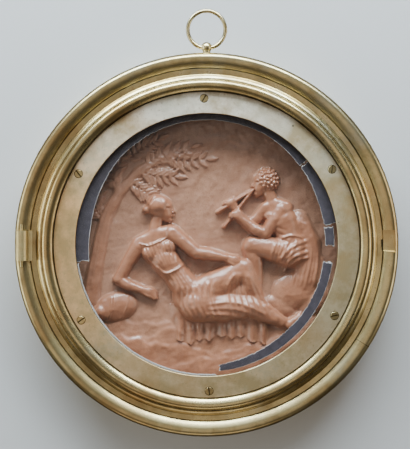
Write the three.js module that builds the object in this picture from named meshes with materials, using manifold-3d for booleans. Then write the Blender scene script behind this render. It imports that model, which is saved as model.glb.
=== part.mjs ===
// A round terracotta relief in a turned brass case. The case has a glazed bezel, hinged
// on the left, and a ring at the top by which it hangs on a wall.
//
// Everything is modelled facing up: x to the right, y up the picture, z out of the wall
// toward the viewer. The root group then stands it up, so that it faces -Y with +Z up and
// its flat back lies in the plane y = 0. Lengths are in millimetres, angles in degrees.
import * as THREE from 'three';
import { mergeVertices } from 'three/addons/utils/BufferGeometryUtils.js';
import Module from 'manifold-3d';

const wasm = await Module();
wasm.setup();

// --- driving dimensions ---------------------------------------------------------------

const GAP = 0.3; // between pieces that touch
const SIDES = 48; // facets round the large rings

const CASE_R = 170; // outside of the case
const RIM_R = 156; // inside of the case's rim, round the bezel
const DRUM_R = 166; // side of the drum behind the rim
const DRUM_WALL = 2;
const BACK_T = 2;
const SHELF_R = 148; // inner edge of the shelf that the bezel shuts against
const SHELF_Z = 27; // top of that shelf
const SHELF_T = 2.5;
const BEAD_Z = 31; // widest line of the rounded moulding on the rim
const BEAD_RISE = 7; // from there to its crest
const BEAD_TUCK = 6.3; // from there down to the drum
const BEAD_CREST_R = 165.2;

const RELIEF_R = 128; // the terracotta disc
const GROUND_Z = 10.5; // its bare ground
const SEAT_H = 7; // rim on the case's back that centres the disc
const SEAT_T = 2;

const BEZEL_R = RIM_R - 0.5;
const BEZEL_Z = SHELF_Z + GAP; // its underside
const BAND_Z = 34.7; // flat band beside the rim
const BAND_R = 150.7; // inner edge of the band, foot of the cove
const COVE_TOP = [146, 37.2]; // radius and z
const COLLAR_R = 135.4; // inner side of the raised collar
const COLLAR_CREST_R = 141.5;
const COLLAR_OUTER_R = 145.6;
const COLLAR_RISE = 5.1;
const LEDGE_R = 125.2; // rabbet for the glass
const LEDGE_Z = 33.2; // seat of the flat ring
const LIP_R = 121.5; // lip under the glass
const GLASS_T = 2.6;

const FLAT_OUTER_R = 133.9; // the screwed ring over the glass
const FLAT_INNER_R = 115.7;
const FLAT_Z = 36;
const FLAT_BEVEL = 0.6;

const SCREW_CIRCLE_R = 129;
const SCREW_START = 31; // angle of the first screw
const SCREW_HEAD_R = 3.4;
const SCREW_HEAD_T = 1.2;
const SCREW_SINK = 0.8; // depth of the head's seat
const SCREW_SHANK_R = 1.6;
const SCREW_LENGTH = 5.5; // of the shank
const SLOT_WIDTH = 0.9;
const SLOT_DEPTH = 0.6;
const SLOT_TURNS = [82, 60, 128, 35, 100, 12]; // as the screwdriver left them

const HINGE_X = -162.8; // axis of the bezel's hinge
const HINGE_Z = 37;
const HINGE_Y = -0.8; // middle of the barrel
const HINGE_LENGTH = 26.5;
const HINGE_R = 5.6;
const HINGE_CLEARANCE = 0.5; // round the barrel and at its ends
const PIN_R = 1.5;
const PIN_LENGTH = 38;
const LEAF_X = -153.4; // edge of the leaf on the bezel
const LEAF_T = 1.3;

const NOTCH_Y = [-4.9, 12.9]; // thumb notch in the rim, opposite the hinge
const NOTCH_X = 166; // where it stops short of the outside
const NOTCH_Z = 33.6;
const NOTCH_SLOPE = 3;
const NICK_X = 153.7; // finger nick in the bezel's edge
const NICK_Y = [-5.2, 4.6];
const NICK_Z = 32;

const LUG_Y = 174.7; // ball on top of the rim
const LUG_R = 4.7;
const LUG_BORE_R = 2.45;
const WIRE_R = 1.55; // of the hanging ring
const RING_R = 16.6; // to the middle of its wire
const RING_Y = 190.6;
const BORE_Y = RING_Y - RING_R;

// Gummed paper behind the glass: from and to angle, inner and outer radius.
const TAPE_T = 0.4;
const TAPES = {
  tape_strip_top: [40.2, 187.5, 105, 118],
  tape_strip_right: [9.5, 39.2, 105.5, 118],
  tape_strip_scrap: [-0.5, 8, 105.5, 113.5],
  tape_strip_bottom: [276, 351.6, 104.5, 113],
};

const BRASS = { color: '#b3935c', roughness: 0.38, metalness: 1 };
const TERRACOTTA = { color: '#a8775a', roughness: 0.5, metalness: 0 };
const GLASS = { color: '#e8efee', roughness: 0.05, metalness: 0, transparent: true, opacity: 0.2 };
const PAPER = { color: '#4b4650', roughness: 0.8, metalness: 0 };

// --- solids ---------------------------------------------------------------------------

const radians = THREE.MathUtils.degToRad;

// A closed geometry as a solid, with its shared vertices merged and its slivers dropped.
function solid(geometry) {
  const bare = geometry.clone();
  bare.deleteAttribute('normal');
  bare.deleteAttribute('uv');
  const merged = mergeVertices(bare, 1e-3);
  const triangles = [];
  for (let i = 0; i < merged.index.count; i += 3) {
    const [a, b, c] = merged.index.array.slice(i, i + 3);
    if (a !== b && b !== c && c !== a) triangles.push(a, b, c);
  }
  return new wasm.Manifold(new wasm.Mesh({
    numProp: 3,
    vertProperties: new Float32Array(merged.attributes.position.array),
    triVerts: new Uint32Array(triangles),
  }));
}

function geometryOf(manifold) {
  const { vertProperties, triVerts } = manifold.getMesh();
  const geometry = new THREE.BufferGeometry();
  geometry.setAttribute('position', new THREE.BufferAttribute(vertProperties, 3));
  geometry.setIndex(new THREE.BufferAttribute(triVerts, 1));
  geometry.computeVertexNormals();
  return geometry;
}

// A ring or disc turned about z from a closed profile of [radius, z] points.
function turned(profile) {
  const points = [...profile, profile[0]].map(([r, z]) => new THREE.Vector2(r, z));
  return new THREE.LatheGeometry(points, SIDES).rotateX(Math.PI / 2);
}

// Profile points along part of an oval about [r, z].
function oval([r, z], [width, rise], from, to, steps) {
  return Array.from({ length: steps + 1 }, (_, i) => {
    const angle = radians(from + ((to - from) * i) / steps);
    return [r + width * Math.cos(angle), z + rise * Math.sin(angle)];
  });
}

// Profile of a rounded moulding, over its crest from its outer side to its inner one.
function moulding(outer, crest, inner, z, rise) {
  return [
    ...oval([crest, z], [outer - crest, rise], 0, 90, 2),
    ...oval([crest, z], [crest - inner, rise], 90, 180, 3).slice(1),
  ];
}

function block([x0, x1], [y0, y1], [z0, z1]) {
  return new THREE.BoxGeometry(x1 - x0, y1 - y0, z1 - z0)
    .translate((x0 + x1) / 2, (y0 + y1) / 2, (z0 + z1) / 2);
}

function rod(radius, length, sides, axis) {
  const geometry = new THREE.CylinderGeometry(radius, radius, length, sides);
  if (axis === 'x') geometry.rotateZ(Math.PI / 2);
  if (axis === 'z') geometry.rotateX(Math.PI / 2);
  return geometry;
}

// --- case -----------------------------------------------------------------------------

function caseShell() {
  const inner = DRUM_R - DRUM_WALL;
  const seat = RELIEF_R + GAP;
  const tuck = oval([DRUM_R, BEAD_Z], [CASE_R - DRUM_R, BEAD_TUCK], -90, 0, 2).slice(0, -1);
  const drum = solid(turned([
    [0, 0], [DRUM_R, 0], ...tuck, ...moulding(CASE_R, BEAD_CREST_R, RIM_R, BEAD_Z, BEAD_RISE),
    [RIM_R, SHELF_Z], [SHELF_R, SHELF_Z], [SHELF_R, SHELF_Z - SHELF_T],
    [inner, SHELF_Z - SHELF_T], [inner, BACK_T], [seat + SEAT_T, BACK_T],
    [seat + SEAT_T, BACK_T + SEAT_H], [seat, BACK_T + SEAT_H], [seat, BACK_T], [0, BACK_T],
  ]));
  return geometryOf(drum.subtract(hingeRecess()).subtract(thumbNotch()).add(lug()));
}

// Room for the hinge barrel in the rim, with holes for the ends of its pin.
function hingeRecess() {
  const half = HINGE_LENGTH / 2 + HINGE_CLEARANCE;
  const floor = HINGE_Z - HINGE_R - HINGE_CLEARANCE;
  const recess = block([-CASE_R - 1, 1 - RIM_R], [HINGE_Y - half, HINGE_Y + half], [floor, HINGE_Z + 10]);
  const holes = rod(PIN_R + GAP, PIN_LENGTH + 2 * GAP, 10, 'y').translate(HINGE_X, HINGE_Y, HINGE_Z);
  return solid(recess).add(solid(holes));
}

// A flat cut through the rim's crest, with a step at its top and a slope at its foot.
function thumbNotch() {
  const [low, high] = NOTCH_Y;
  const crest = BEAD_Z + BEAD_RISE + 1;
  const outline = new THREE.Shape([
    new THREE.Vector2(low, NOTCH_Z), new THREE.Vector2(high, NOTCH_Z),
    new THREE.Vector2(high, crest), new THREE.Vector2(low - NOTCH_SLOPE, crest),
  ]);
  const depth = NOTCH_X - RIM_R + 1;
  const geometry = new THREE.ExtrudeGeometry(outline, { depth, bevelEnabled: false });
  // The outline's (x, y) and the depth become the notch's (y, z) and x.
  const turn = new THREE.Matrix4().set(0, 0, 1, RIM_R - 1, 1, 0, 0, 0, 0, 1, 0, 0, 0, 0, 0, 1);
  return solid(geometry.applyMatrix4(turn));
}

// The ball that carries the hanging ring, on a short neck that runs into the rim.
function lug() {
  const ball = solid(new THREE.SphereGeometry(LUG_R, 12, 8));
  const neck = solid(rod(LUG_R * 0.7, LUG_R * 1.6, 10, 'y').translate(0, -LUG_R, 0));
  const bore = solid(rod(LUG_BORE_R, LUG_R * 3, 12, 'x').translate(0, BORE_Y - LUG_Y, 0));
  return ball.add(neck).subtract(bore).translate([0, LUG_Y, BEAD_Z]);
}

function hingePin() {
  return rod(PIN_R, PIN_LENGTH, 8, 'y');
}

function hangingRing() {
  return new THREE.TorusGeometry(RING_R, WIRE_R, 7, 24);
}

// --- bezel ----------------------------------------------------------------------------

function bezelRing() {
  const [coveR, coveZ] = COVE_TOP;
  const cove = [1 / 3, 2 / 3].map((t) => [
    THREE.MathUtils.lerp(BAND_R, coveR, t), BAND_Z + (coveZ - BAND_Z) * Math.sin((t * Math.PI) / 2),
  ]);
  const ring = solid(turned([
    [LIP_R, BEZEL_Z], [BEZEL_R, BEZEL_Z], [BEZEL_R, BAND_Z - 0.5], [BEZEL_R - 0.5, BAND_Z],
    [BAND_R, BAND_Z], ...cove, COVE_TOP,
    ...moulding(COLLAR_OUTER_R, COLLAR_CREST_R, COLLAR_R, coveZ, COLLAR_RISE),
    [COLLAR_R, LEDGE_Z], [LEDGE_R, LEDGE_Z], [LEDGE_R, LEDGE_Z - GLASS_T - GAP],
    [LIP_R, LEDGE_Z - GLASS_T - GAP],
  ]));
  const nick = solid(block([NICK_X, BEZEL_R + 1], NICK_Y, [NICK_Z, BAND_Z + 1]));
  const holeFloor = FLAT_Z - SCREW_SINK - SCREW_LENGTH - GAP;
  return geometryOf(drilled(ring.subtract(nick), holeFloor, SCREW_SHANK_R));
}

function flatRing() {
  const seat = LEDGE_Z + GAP;
  const ring = solid(turned([
    [FLAT_INNER_R, seat], [FLAT_OUTER_R, seat], [FLAT_OUTER_R, FLAT_Z - FLAT_BEVEL],
    [FLAT_OUTER_R - FLAT_BEVEL, FLAT_Z], [FLAT_INNER_R + FLAT_BEVEL, FLAT_Z],
    [FLAT_INNER_R, FLAT_Z - FLAT_BEVEL],
  ]));
  const headSeat = FLAT_Z - SCREW_SINK - GAP;
  return geometryOf(drilled(drilled(ring, seat - 1, SCREW_SHANK_R), headSeat, SCREW_HEAD_R));
}

// A body with holes on the screw circle from z up, a little wider than the radius.
function drilled(body, z, radius) {
  const height = 12;
  return SLOT_TURNS.reduce((rest, _, i) => {
    const { x, y } = screwPlace(i);
    return rest.subtract(solid(rod(radius + GAP, height, 8, 'z').translate(x, y, z + height / 2)));
  }, body);
}

function screwPlace(i) {
  const angle = radians(SCREW_START + (360 * i) / SLOT_TURNS.length);
  return new THREE.Vector3(Math.cos(angle), Math.sin(angle), 0).multiplyScalar(SCREW_CIRCLE_R);
}

// A flat-headed screw, with the underside of its head at z = 0.
function screw() {
  const head = rod(SCREW_HEAD_R, SCREW_HEAD_T, 10, 'z').translate(0, 0, SCREW_HEAD_T / 2);
  const shank = rod(SCREW_SHANK_R, SCREW_LENGTH + 0.5, 6, 'z').translate(0, 0, (0.5 - SCREW_LENGTH) / 2);
  const across = [-SCREW_HEAD_R - 1, SCREW_HEAD_R + 1];
  const slotFloor = SCREW_HEAD_T - SLOT_DEPTH;
  const slot = block(across, [-SLOT_WIDTH / 2, SLOT_WIDTH / 2], [slotFloor, SCREW_HEAD_T + 1]);
  return geometryOf(solid(head).add(solid(shank)).subtract(solid(slot)));
}

function glassPane() {
  const bottom = LEDGE_Z - GLASS_T;
  return turned([[0, bottom], [LEDGE_R - GAP * 2, bottom], [LEDGE_R - GAP * 2, LEDGE_Z], [0, LEDGE_Z]]);
}

// A barrel bored for the pin, with a leaf that lies on the bezel's band.
function hingeBarrel() {
  const barrel = solid(rod(HINGE_R, HINGE_LENGTH, 16, 'y'));
  const bore = solid(rod(PIN_R + GAP, HINGE_LENGTH + 2, 10, 'y'));
  const foot = BAND_Z + GAP - HINGE_Z;
  const leaf = solid(block([PIN_R + 1, LEAF_X - HINGE_X], [-HINGE_LENGTH / 2, HINGE_LENGTH / 2],
    [foot, foot + LEAF_T]));
  return geometryOf(barrel.add(leaf).subtract(bore));
}

// A strip of paper along an arc, behind the glass.
function tape([from, to, inner, outer]) {
  const strip = new THREE.Shape();
  strip.absarc(0, 0, outer, radians(from), radians(to), false);
  strip.absarc(0, 0, inner, radians(to), radians(from), true);
  const curveSegments = Math.max(2, Math.round((to - from) / 16));
  return new THREE.ExtrudeGeometry(strip, { depth: TAPE_T, bevelEnabled: false, curveSegments });
}

// --- relief surface -------------------------------------------------------------------

const CELLS = 128; // across the height field, a power of two
const FIELD_HALF = RELIEF_R + 2;
const SOFTENING = 2; // passes that wear down what the facets are too coarse for
const TOLERANCE = 0.76; // by which the facets may miss the surface
const DEPTH_SCALE = 0.8; // by which the modelling is flattened into relief
const FLANK = 8; // steepness of the side of a form below its widest line

const clamp = THREE.MathUtils.clamp;

function blended(a, b, reach) {
  const near = Math.max(reach - Math.abs(a - b), 0) / reach;
  return Math.max(a, b) + (near * near * reach) / 4;
}

function smooth(t) {
  return t * t * (3 - 2 * t);
}

// Evenly spread points on a smooth curve through the given ones.
function splinePoints(points, steps) {
  const places = points.map(([x, y]) => new THREE.Vector3(x, y, 0));
  const curve = new THREE.CatmullRomCurve3(places, false, 'catmullrom', 0.5);
  return Array.from({ length: steps + 1 }, (_, i) => {
    const { x, y } = curve.getPoint(i / steps);
    return [x, y];
  });
}

// Where a point lies beside a segment: the distance from it and the share of its length.
function beside(x, y, [ax, ay], [bx, by]) {
  const [dx, dy] = [bx - ax, by - ay];
  const t = clamp(((x - ax) * dx + (y - ay) * dy) / Math.max(dx * dx + dy * dy, 1e-9), 0, 1);
  return [Math.hypot(x - ax - t * dx, y - ay - t * dy), t];
}

// A height field over the picture, built up form by form. Places are [x, y], or with a
// height of the form's widest line and a radius.
class Modelling {
  constructor() {
    this.line = Array.from({ length: CELLS + 1 }, (_, i) => ((2 * i) / CELLS - 1) * FIELD_HALF);
    this.z = new Float64Array((CELLS + 1) ** 2);
  }

  // Replaces the heights within reach of some places.
  change(places, reach, height) {
    const [xs, ys] = [0, 1].map((k) => places.map((place) => place[k]));
    const near = (v, all) => v > Math.min(...all) - reach && v < Math.max(...all) + reach;
    this.line.forEach((y, j) => {
      if (!near(y, ys)) return;
      this.line.forEach((x, i) => {
        const k = j * (CELLS + 1) + i;
        if (near(x, xs)) this.z[k] = height(x, y, this.z[k]);
      });
    });
  }

  soften(passes) {
    for (let pass = 0; pass < passes; pass++) {
      for (const step of [1, CELLS + 1]) {
        const old = this.z.slice();
        for (let k = step; k < old.length - step; k++) {
          this.z[k] = (old[k - step] + 2 * old[k] + old[k + step]) / 4;
        }
      }
    }
  }

  // A round bar through the places, tapering from one radius to the next.
  limb(places, blend = 2, flat = 1) {
    this.change(places, Math.max(...places.map((place) => place[3])) + 7, (x, y, z) => {
      let top = -99;
      for (let i = 1; i < places.length; i++) {
        const [from, to] = [places[i - 1], places[i]];
        const [distance, t] = beside(x, y, from, to);
        const radius = THREE.MathUtils.lerp(from[3], to[3], t);
        const inside = radius ** 2 - distance ** 2;
        const rise = inside > 0 ? flat * Math.sqrt(inside) : (radius - distance) * FLANK;
        top = Math.max(top, THREE.MathUtils.lerp(from[2], to[2], t) + rise);
      }
      return blended(z, top, blend);
    });
  }

  // An egg-shaped swelling.
  mound([cx, cy, cz], [a, b], turn = 0, bulge = Math.min(a, b), blend = 2) {
    const [c, s] = [Math.cos(radians(turn)), Math.sin(radians(turn))];
    this.change([[cx, cy]], Math.max(a, b) + 7, (x, y, z) => {
      const q = Math.hypot(((x - cx) * c + (y - cy) * s) / a, ((y - cy) * c - (x - cx) * s) / b);
      const rise = q < 1 ? bulge * Math.sqrt(1 - q * q) : (1 - q) * Math.min(a, b) * FLANK;
      return blended(z, cz + rise, blend);
    });
  }

  hollow([cx, cy], [a, b], turn, depth) {
    const [c, s] = [Math.cos(radians(turn)), Math.sin(radians(turn))];
    this.change([[cx, cy]], 2.2 * Math.max(a, b), (x, y, z) => {
      const u = ((x - cx) * c + (y - cy) * s) / a;
      const v = ((y - cy) * c - (x - cx) * s) / b;
      return z - depth * Math.exp(-1.2 * (u * u + v * v));
    });
  }

  // A raised line along a curve, fading at its ends.
  ridge(places, width, height, ends = 0.15) {
    const steps = 12;
    const course = splinePoints(places, steps);
    this.change(course, width + 1, (x, y, z) => {
      let [near, along] = [Infinity, 0];
      for (let i = 0; i < steps; i++) {
        const [distance, t] = beside(x, y, course[i], course[i + 1]);
        if (distance < near) [near, along] = [distance, (i + t) / steps];
      }
      const fade = smooth(clamp(along / ends, 0, 1) * clamp((1 - along) / ends, 0, 1));
      return z + height * fade * smooth(clamp(1 - near / width, 0, 1));
    });
  }

  // Ridges of uneven strength, spread from a first course to a last.
  folds(first, last, count, width, height, phase = 0, ends = 0.15) {
    for (let i = 0; i < count; i++) {
      const t = (i + 0.5) / count;
      const vary = Math.cos(i * 2.4 + phase);
      const course = first.map(([x, y], k) => [x + (last[k][0] - x) * t, y + (last[k][1] - y) * t]);
      this.ridge(course, width * (1 + 0.2 * vary), height * (0.75 + 0.25 * vary), ends);
    }
  }

  leaf([x0, y0], turn, length, height) {
    const [c, s] = [Math.cos(radians(turn)), Math.sin(radians(turn))];
    this.change([[x0, y0]], length + 1, (x, y, z) => {
      const u = ((x - x0) * c + (y - y0) * s) / length;
      const v = Math.abs((y - y0) * c - (x - x0) * s) / length;
      if (u <= 0 || u >= 1) return z;
      const q = v / (0.2 * Math.sin(Math.PI * u ** 0.75));
      if (q >= 1) return z;
      const top = height * (0.6 + 0.7 * Math.sqrt(1 - q * q) - 0.35 * Math.max(1 - q * 4, 0));
      return Math.max(z, Math.min(z, height) * 0.4 + top);
    });
  }

  // Cloth that hangs from a line of places, in folds down to a wavy hem.
  curtain(top, drop, count, thick, depth) {
    const [start, end] = [top[0], top[top.length - 1]];
    const rail = (x) => {
      const i = clamp(top.findIndex((place) => place[0] > x), 1, top.length - 1);
      return THREE.MathUtils.mapLinear(x, top[i - 1][0], top[i][0], top[i - 1][1], top[i][1]);
    };
    this.change([...top, [start[0], start[1] - drop * 1.4]], 4, (x, y, z) => {
      const u = (x - start[0]) / (end[0] - start[0]);
      if (u <= 0 || u >= 1) return z;
      const fold = Math.cos(2 * Math.PI * count * (u + 0.012 * Math.sin(18 * u + y * 0.06)));
      const sway = 0.9 * fold + 1.2 * Math.cos(Math.PI * count * u);
      const hem = drop * (0.85 + 0.15 * Math.sin(7 * u + 1)) + sway;
      const t = (rail(x) - y) / hem;
      if (t <= -0.3 || t >= 1) return z;
      const side = clamp(u / 0.1, 0, 1) * clamp((1 - u) / 0.1, 0, 1);
      const rise = (thick + depth * fold * clamp(t * 1.6, 0.15, 1)) * Math.sqrt(side);
      return blended(z, rise + 0.5 * Math.max(1 - Math.abs(t - 0.985) / 0.03, 0), 0.6);
    });
  }
}

// --- the scene on the relief ----------------------------------------------------------

// Uneven ground, with ledges of rock below and boulders at the right.
function ground(relief) {
  relief.change([[0, 0]], 2 * FIELD_HALF, (x, y) => {
    const bank = -60 - 9 * Math.sin((x + 20) * 0.025) + 3 * Math.sin(x * 0.09);
    let z = 0.35 * Math.sin(x * 0.045 + 1) * Math.cos(y * 0.05) + 3 / (1 + Math.exp((y - bank) / 4));
    for (let i = 0; i < 4; i++) {
      const ledge = -68 - 12 * i + 5 * Math.sin(x * 0.045 + 2.1 * i) + 2.4 * Math.sin(x * 0.12 + 5 * i);
      z += 1.5 / (1 + Math.exp((y - ledge) / 0.8));
    }
    return z;
  });
  relief.mound([80, -42, 1], [22, 17], 20, 6.5, 1);
  relief.mound([95, -24, 1], [15, 20], 10, 6, 1);
  relief.mound([66, -56, 1], [14, 10], -15, 5, 1);
  relief.mound([98, -52, 1], [16, 12], 40, 5.5, 1);
}

// A laurel whose trunk leans in from the left, its boughs over the woman's head.
function tree(relief) {
  relief.limb([[-106, -50, 1, 9], [-100, -14, 1, 7], [-92, 22, 1, 6], [-80, 46, 1, 5], [-62, 66, 0.6, 4],
    [-40, 80, 0.4, 2.6], [-18, 87, 0.2, 1.4]], 2, 0.6);
  relief.limb([[-80, 46, 1, 4], [-84, 62, 0.6, 2.5], [-74, 84, 0.3, 1.3]], 2, 0.6);
  relief.limb([[-62, 66, 0.6, 2.5], [-48, 62, 0.4, 1.8], [-28, 61, 0.2, 1.1]], 2, 0.6);
  relief.limb([[-93, 18, 0.6, 3], [-100, 30, 0.4, 2], [-98, 46, 0.2, 1.2]], 2, 0.6);
  const bark = [[-111, -46], [-105, -12], [-97, 22], [-86, 46]];
  relief.folds(bark, [[-99, -46], [-93, -12], [-87, 22], [-76, 44]], 6, 1.6, 1);
  const twigs = [
    [[-80, 48], [-84, 62], [-74, 84]], [[-62, 66], [-48, 62], [-28, 61]],
    [[-58, 70], [-42, 80], [-14, 88]], [[-40, 78], [-24, 76], [0, 77]],
    [[-93, 22], [-100, 32], [-98, 48]], [[-72, 56], [-60, 50], [-50, 44]],
    [[-74, 74], [-60, 86], [-44, 95]],
  ];
  for (const twig of twigs) leafyTwig(relief, splinePoints(twig, 7));
}

// Leaves in pairs along a twig, and one at its end.
function leafyTwig(relief, course) {
  for (let i = 1; i < course.length; i++) {
    const [[x0, y0], [x, y]] = [course[i - 1], course[i]];
    const along = THREE.MathUtils.radToDeg(Math.atan2(y - y0, x - x0));
    for (const side of i < course.length - 1 ? [-1, 1] : [0]) {
      const splay = side * (46 + 8 * Math.sin(7 * i + side));
      relief.leaf([x, y], along + splay, 12 + 2 * Math.sin(5 * i + side), 2);
    }
  }
}

// A head in profile, drawn in shares of its own height: u runs forward and v up.
class Head {
  constructor(relief, place, z, height, tilt, facing) {
    Object.assign(this, { relief, place, z, height, tilt, facing });
  }

  at(u, v) {
    const [c, s] = [Math.cos(radians(this.tilt)), Math.sin(radians(this.tilt))];
    const [x, y] = this.place;
    return [x + this.facing * (u * c - v * s) * this.height, y + (u * s + v * c) * this.height];
  }

  mound(u, v, z, radii, bulge, turn = 0, blend = 0.05) {
    const { height, facing, tilt } = this;
    this.relief.mound([...this.at(u, v), this.z + z * height], radii.map((r) => r * height),
      facing * (turn + tilt), bulge * height, blend * height);
  }

  limb(places, blend) {
    const { height } = this;
    const bar = places.map(([u, v, z, r]) => [...this.at(u, v), this.z + z * height, r * height]);
    this.relief.limb(bar, blend * height);
  }

  ridge(places, width, height, ends) {
    const course = places.map(([u, v]) => this.at(u, v));
    this.relief.ridge(course, width * this.height, height * this.height, ends);
  }

  face() {
    this.mound(-0.06, 0.1, 0, [0.4, 0.37], 0.34); // skull
    this.mound(0.14, 0.1, 0.02, [0.22, 0.27], 0.25, 0, 0.08); // forehead
    this.mound(0.13, -0.1, 0, [0.22, 0.3], 0.25, 10, 0.08); // cheek
    this.limb([[-0.08, -0.2, 0.02, 0.12], [0.22, -0.38, 0.03, 0.09]], 0.08); // jaw
    this.mound(0.265, -0.375, 0.05, [0.065, 0.06], 0.07, 0, 0.06); // chin
    const nose = [[0.3, 0.1, 0.05, 0.045], [0.335, 0.02, 0.06, 0.03], [0.4, -0.105, 0.06, 0.03]];
    this.limb(nose, 0.03);
    this.mound(0.318, -0.225, 0.04, [0.045, 0.035], 0.05, -5, 0.02); // lips
  }

  // Hair drawn back into a knot, with a band round it.
  sweptHair() {
    this.mound(-0.17, 0.15, 0.03, [0.36, 0.36], 0.35, 0, 0.02);
    this.mound(-0.52, 0.02, 0.02, [0.15, 0.14], 0.2, 0, 0.02);
    this.ridge([[0.16, 0.42], [-0.08, 0.53], [-0.34, 0.38], [-0.46, 0.16]], 0.05, 0.07, 0.08);
  }

  curlyHair() {
    this.mound(-0.13, 0.15, 0.03, [0.36, 0.36], 0.34, 0, 0.02);
    for (const [ring, count] of [[0.36, 15], [0.25, 11], [0.13, 6], [0, 1]]) {
      for (let i = 0; i < count; i++) {
        const angle = 0.1 + (2 * Math.PI * i) / count + ring * 9;
        const [u, v] = [ring * Math.cos(angle) - 0.13, ring * Math.sin(angle) + 0.15];
        const lift = 0.03 + 0.33 * Math.sqrt(1 - (ring / 0.4) ** 2);
        if (u < 0.1 || v > 0.16) this.mound(u, v, lift, [0.072, 0.058], 0.075, 60 * i, 0.012);
      }
    }
  }
}

// A hand, from wrist to knuckles, with its fingers bent by an angle in radians.
function hand(relief, [x0, y0], [x1, y1], z, curl, length = 11) {
  const angle = Math.atan2(y1 - y0, x1 - x0);
  const [c, s] = [Math.cos(angle), Math.sin(angle)];
  relief.limb([[x0, y0, z, 2.9], [x1, y1, z, 3.7]], 0.9, 0.75);
  [0.5, 0.62, 0.58, 0.46].forEach((share, i) => {
    const aside = (i - 1.5) * 1.9;
    let [x, y] = [x1 - aside * s, y1 + aside * c];
    const finger = [[x, y, z + 0.8, 1.3]];
    [0.15, 0.6, 1].forEach((bend, j) => {
      x += share * length * 0.42 * Math.cos(angle + curl * bend);
      y += share * length * 0.42 * Math.sin(angle + curl * bend);
      finger.push([x, y, z + 0.9 - 0.5 * j, 1.25 - 0.12 * j]);
    });
    relief.limb(finger, 0.3);
  });
}

function foot(relief, [x0, y0], [x1, y1], z) {
  relief.limb([[x0, y0, z + 0.5, 4.2], [(x0 + x1) / 2, (y0 + y1) / 2, z, 3.6], [x1, y1, z - 1, 2.7],
    [x1 + (x1 - x0) / 4, y1 + (y1 - y0) / 4, z - 1.2, 2.2]], 1);
}

// A jar on its side, its mouth to the left.
function jar(relief) {
  relief.mound([-82, -57, 2], [20, 13.5], 14, 9, 0.8);
  relief.limb([[-96, -61, 4, 7], [-103, -63, 4, 5.2]], 1);
  for (const along of [-7, -5, 8]) {
    const [x, y] = [-82 + along, -57 + along / 4];
    relief.ridge([[x - 3, y - 13.5], [x + 2.5, y], [x + 3.4, y + 13.5]], 0.9, 0.9, 0.1);
  }
}

// A draped woman reclining on the bank, with one knee raised and an elbow on the jar.
function recliningWoman(relief) {
  relief.curtain([[-34, -58], [-22, -64], [-6, -66], [16, -66], [40, -64], [60, -68]], 25, 10, 7.6, 1.7);
  relief.limb([[-63, -3, 5, 6.8], [-72, -17, 5.5, 5.5], [-80, -32, 6.5, 4.8]], 1.2); // arm leaned on
  relief.limb([[-80, -32, 7, 4.6], [-71, -37, 8, 4.6], [-58, -41, 8, 3]], 1.2);
  hand(relief, [-58, -41], [-52, -43], 8, -0.5);
  relief.limb([[-4, -44, 4, 15], [16, -33, 6, 12.5], [33, -22, 7, 9.4]], 3); // leg with the knee up
  relief.limb([[33, -22, 7, 9], [41, -38, 6, 8.2], [51, -60, 4, 5.5]], 1.5);
  relief.mound([-14, -47, 4], [17, 18], 30, 11, 3); // hips, waist and chest
  relief.limb([[-17, -41, 4, 13.5], [-28, -27, 4.5, 11], [-38, -14, 4.5, 12.5]], 3, 0.95);
  relief.mound([-44, -4, 4], [16.5, 15], 120, 10, 3);
  relief.limb([[-61, 0, 4.5, 7], [-48, 7, 4.5, 7.6], [-33, 11, 5.5, 7]], 2.5);
  relief.mound([-51, -8, 7.5], [7.4, 7], 0, 7, 1.4);
  relief.mound([-35.5, -2.5, 8], [7.6, 7.2], 0, 7.2, 1.4);
  relief.limb([[-8, -55, 6, 16], [14, -57, 7, 13.3], [38, -56, 8, 10.2]], 3); // leg stretched out
  relief.limb([[38, -56, 8, 9.8], [52, -62, 7.5, 8.6], [68, -70, 6, 5.2]], 1.5);
  foot(relief, [75, -72.5], [84, -66], 6);
  relief.limb([[66, -69, 6, 4.6], [75, -72.5, 6, 3.9]], 1);
  relief.limb([[10, -46, 5, 13], [34, -44, 5, 12], [50, -60, 4, 8]], 2.5, 0.6); // cloth between them
  relief.limb([[-48, 5, 5.5, 6.6], [-47, 13, 5.5, 5.4], [-45, 22, 5, 5.2]], 2);
  const head = new Head(relief, [-40.5, 31.5], 6, 26, 3, 1);
  head.face();
  head.sweptHair();
  womansDress(relief);
  relief.limb([[-31, 10, 8, 7], [-21, 2, 9.5, 5.9], [-9, -8, 11, 5]], 1.2); // arm laid along the thigh
  relief.limb([[-9, -8, 11, 4.8], [2, -9, 12, 4.7], [17, -12, 13, 3]], 1.2);
  hand(relief, [18, -12], [25, -14.5], 12.5, -0.8);
}

function womansDress(relief) {
  const side = [[-60, 0], [-56, -10], [-44, -24]];
  relief.folds(side, [[-30, 8], [-27, -4], [-25, -19]], 9, 1.7, 1.1, 0, 0.12);
  relief.ridge([[-62, 1], [-52, -1], [-42, 3], [-29, 9]], 1.5, 1.3, 0.1); // neckline and girdle
  relief.ridge([[-46, -19], [-37, -26], [-26, -22], [-19, -16]], 2, 1.9, 0.1);
  const back = [[-43, -25], [-37, -36], [-34, -50]];
  relief.folds(back, [[-22, -20], [-12, -32], [-4, -42]], 7, 2, 1.2, 1, 0.2);
  const skirt = [[-30, -38], [-28, -54], [-18, -69]];
  relief.folds(skirt, [[10, -30], [8, -48], [16, -69]], 7, 2.6, 1.8);
  relief.folds([[26, -24], [16, -40], [20, -66]], [[37, -22], [51, -46], [60, -67]], 7, 2.5, 1.8, 1);
  relief.folds([[-4, -64], [24, -67], [54, -74]], [[-4, -52], [28, -49], [60, -64]], 3, 2.4, 1.3, 0, 0.2);
}

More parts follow.
